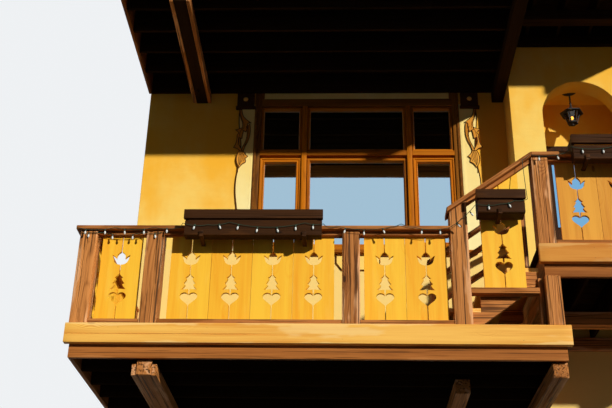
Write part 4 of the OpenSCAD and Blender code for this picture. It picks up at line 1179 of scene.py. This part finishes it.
# %% Wrought iron
BLACK, RUST = rgb(30, 26, 24), rgb(58, 40, 28)
iron, tree, shader = surface("wrought iron", BLACK, 0.5, 0.3)
rust = noise(tree, coordinates(tree), (60, 60, 60), 3)
tree.links.new(blend(tree, between(tree, rust, 0.5, 0.75), (*BLACK, 1), (*RUST, 1)),
    shader.inputs["Base Color"])
bump(tree, shader, rust, 0.001)
finish("lantern", iron, "wrought_iron", edge=0.0015)

# %% [markdown]
# ## Small ironwork
# The lantern hangs from a rose and a beaded stem, and a warm bulb glows behind its six panes. Its
# cage widens upwards, so the panes are one turned form with six sides that follows it.

# %% Lantern fittings
lantern_low, lantern_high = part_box("lantern")
axis = (lantern_low.x + lantern_high.x) / 2, (lantern_low.y + lantern_high.y) / 2, 0


def on_axis(name, profile, sides, material):
    """A piece turned about the lantern's upright axis."""
    build(name, [turned(profile, axis, (0, 0, 1), sides)], material)


roof, rose = 3.480, lantern_high.z
on_axis("lantern_stem", [(0, roof + 0.088), (0.018, roof + 0.088), (0.013, roof + 0.1),
    (0.011, roof + 0.13), (0.016, roof + 0.14), (0.011, roof + 0.15), (0.010, rose - 0.06),
    (0.016, rose - 0.05), (0.022, rose - 0.024), (0.088, rose - 0.014), (0.088, rose - 0.006),
    (0, rose - 0.006)], 32, iron)
clear, _, shader = surface("lantern glass", rgb(226, 214, 190), 0.06, 0.5)
shader.inputs["Transmission Weight"].default_value = 1.0
on_axis("lantern_panes", [(0, 3.343), (0.049, 3.343), (0.0865, 3.467), (0.0845, 3.467),
    (0.047, 3.345), (0, 3.345)], 6, clear)
glow, _, shader = surface("glowing bulb", rgb(255, 200, 110), 0.3)
shader.inputs["Emission Color"].default_value = (*rgb(255, 186, 60), 1)
shader.inputs["Emission Strength"].default_value = 3.0
on_axis("lantern_bulb", [(0, 3.388), (0.009, 3.390), (0.015, 3.397), (0.018, 3.407),
    (0.016, 3.418), (0.011, 3.427), (0.010, 3.436), (0, 3.436)], 24, glow)

# %% [markdown]
# ## The glazed door
# The door in the recess has glass in both fields of its leaf, and through the cut-outs of the
# gallery's boards it mirrors the sky. Each sheet stands in its sunk field behind four mitred
# beads.

# %% Door panes, beads and handle
DOOR_FIELD, FIELD_LOW, FIELD_TALL = (2.759, 3.331), (0.98, 2.09), 0.9
DOOR_GLASS = -0.0545, -0.0510
BEAD = [(-0.064, -0.006), (-0.052, -0.006), (-0.052, 0.012), (-0.056, 0.012), (-0.064, 0.004)]
door_panes, door_beads = [], []
for i, low in enumerate(FIELD_LOW):
    corner, opposite = zip(DOOR_FIELD, DOOR_GLASS, (low, low + FIELD_TALL))
    door_panes.append(pane(corner, opposite, 1410 + i))
    door_beads += mitred(*DOOR_FIELD, low, low + FIELD_TALL, BEAD, 1420 + i)
# The door glass is a deeper blue, which paints the sky into its reflection.
build("door_panes", door_panes, mirroring("door glass", rgb(128, 184, 224)))
build("door_beads", door_beads, dark_wood, (), FLAT_SIDES)

LEVER = 2.700, -0.062, 1.87
neck = [(0, 0), (0.016, 0), (0.016, 0.008), (0.009, 0.012), (0.009, 0.05), (0, 0.05)]
lever = [(LEVER[0] + x, LEVER[1] - 0.046, LEVER[2] + z) for x, z in
    ((-0.008, 0), (0.02, 0.002), (0.06, 0.002), (0.09, -0.002), (0.115, -0.01))]
build("door_handle", [turned(neck, LEVER, (0, -1, 0), 20), tube(lever, 0.008, 12, 0.8),
    plank((LEVER[0] - 0.022, -0.067, 1.76), (LEVER[0] + 0.022, -0.061, 1.94), 1400, ease=0.002,
        rough=0, checks=0)], iron)

# %% [markdown]
# ## Nails
# Nails with round heads hold the fascias to the joists: a small turned form, set in pairs.

# %% Rows of nails
NAIL_HEAD = [(0, -0.004), (0.0055, -0.004), (0.0055, 0), (0.004, 0.0018), (0, 0.0022)]
FROM_ENDS, FROM_EDGES, STRAY, NAIL_DEEP = (0.09, 0.05), (0.04, 0.045), 0.008, 0.0025


def nails(deck, pitch=0.4):
    """Round heads in two rows along a fascia: each pair lies one pitch further along, and a nail
    strays from its place by a sine of where it is."""
    (x0, y, z0), (x1, _, z1) = fascia(deck)
    return [turned(NAIL_HEAD, (x + STRAY * math.sin(40 * x + z), y + NAIL_DEEP, z), (0, -1, 0), 10)
        for x in np.arange(x0 + FROM_ENDS[0], x1 - FROM_ENDS[1], pitch)
        for z in (z0 + FROM_EDGES[0], z1 - FROM_EDGES[1])]


build("fascia_nails", nails("balcony") + nails("gallery"), iron)

# %% [markdown]
# ## Strings of small lights
# A dark wire runs along the handrails from hook to hook and sags between them, and small bulbs
# hang from it in their sockets. The hooks are the frame's, given in millimetres. Between two
# hooks the wire hangs in a parabola whose dip is 7% of the span. The bulbs of one string share
# their shape: a profile turned about a line that leans a little.

# %% Wires, sockets and bulbs
CAP_HOOKS = np.array([(-2262, -2386, 938), (-1900, -2386, 938), (-1530, -2386, 940),
    (-1290, -2386, 938), (-1246, -2494, 930), (-1010, -2491, 915), (-810, -2491, 942),
    (-110, -2491, 936), (36, -2491, 922), (58, -2494, 925), (110, -2386, 940), (180, -2386, 955),
    (690, -2386, 950), (780, -2388, 978), (890, -2386, 945), (1222, -2386, 940),
    (1470, -2494, 1132), (1700, -2491, 1135), (1830, -2491, 1170), (1915, -2491, 1174),
    (1946, -2494, 1185), (1952, -2386, 1668), (2030, -2386, 1724), (2370, -2386, 1745),
    (2408, -2494, 1748), (2800, -2491, 1752), (3250, -2491, 1755), (3684, -2491, 1750),
    (3714, -2494, 1748), (3760, -2386, 1745), (4050, -2386, 1742)]) / 1000
RAIL_HOOKS = np.array([(-2215, -2351, 912), (-2085, -2351, 905), (-2030, -2326, 915),
    (-1640, -2326, 915), (-1595, -2351, 898), (-1460, -2351, 905)]) / 1000
BULB_PITCH, SHORTEST, SAG, LEAN, WIRE = 0.185, 0.125, 0.07, 12, 0.003


def string_points(hooks, pitch, parts=1):
    """Points along a string: between two hooks it hangs by SAG of the span times 4 t (1 - t)."""
    rows = []
    for a, b in zip(hooks, hooks[1:]):
        span = np.linalg.norm(b - a)
        count = parts * max(1, int(span / pitch + 0.5))
        t = np.arange(count)[:, None] / count
        rows.append(a + (b - a) * t - np.array([0, 0, 4 * SAG * span]) * t * (1 - t))
    return np.concatenate([*rows, hooks[-1:]])


def hanging(points, profile, sides):
    """One turned form at the middle of each longer stretch of a string that isn't steep. It leans
    by LEAN degrees times the sine of 137 degrees for each stretch before it."""
    forms = []
    for i, (a, b) in enumerate(zip(points, points[1:])):
        way, span = b - a, np.linalg.norm(b - a)
        if span > SHORTEST and way[0] > span / 2:
            lean = math.radians(LEAN * math.sin(math.radians(137 * i)))
            lean -= math.atan2(way[2], way[0])
            down = -math.sin(lean), 0, -math.cos(lean)
            forms.append(turned(profile, (a + b) / 2, down, sides))
    return forms

# %% The two strings
SOCKET = [(0, 0.0042), (0.0052, 0.0046), (0.0066, 0.008), (0.0066, 0.026), (0.005, 0.028),
    (0, 0.028)]
BULB = [(0, 0.0275), (0.0058, 0.0275), (0.0082, 0.032), (0.0094, 0.040), (0.0094, 0.046),
    (0.0075, 0.053), (0.0042, 0.0585), (0, 0.06)]
wires, sockets, bulbs = [], [], []
for hooks in (CAP_HOOKS, RAIL_HOOKS):
    wires.append(tube(string_points(hooks, BULB_PITCH, 5), WIRE))
    coarse = string_points(hooks, BULB_PITCH)
    sockets += hanging(coarse, SOCKET, 10)
    bulbs += hanging(coarse, BULB, 12)
green = surface("green wire", rgb(34, 58, 44), 0.5)[0]
pearl = surface("pale bulb glass", rgb(226, 230, 226), 0.15)[0]
for name, forms, material in (("light_wires", wires, green), ("light_sockets", sockets, green),
        ("light_bulbs", bulbs, pearl)):
    build(name, forms, material, ["light_string"])
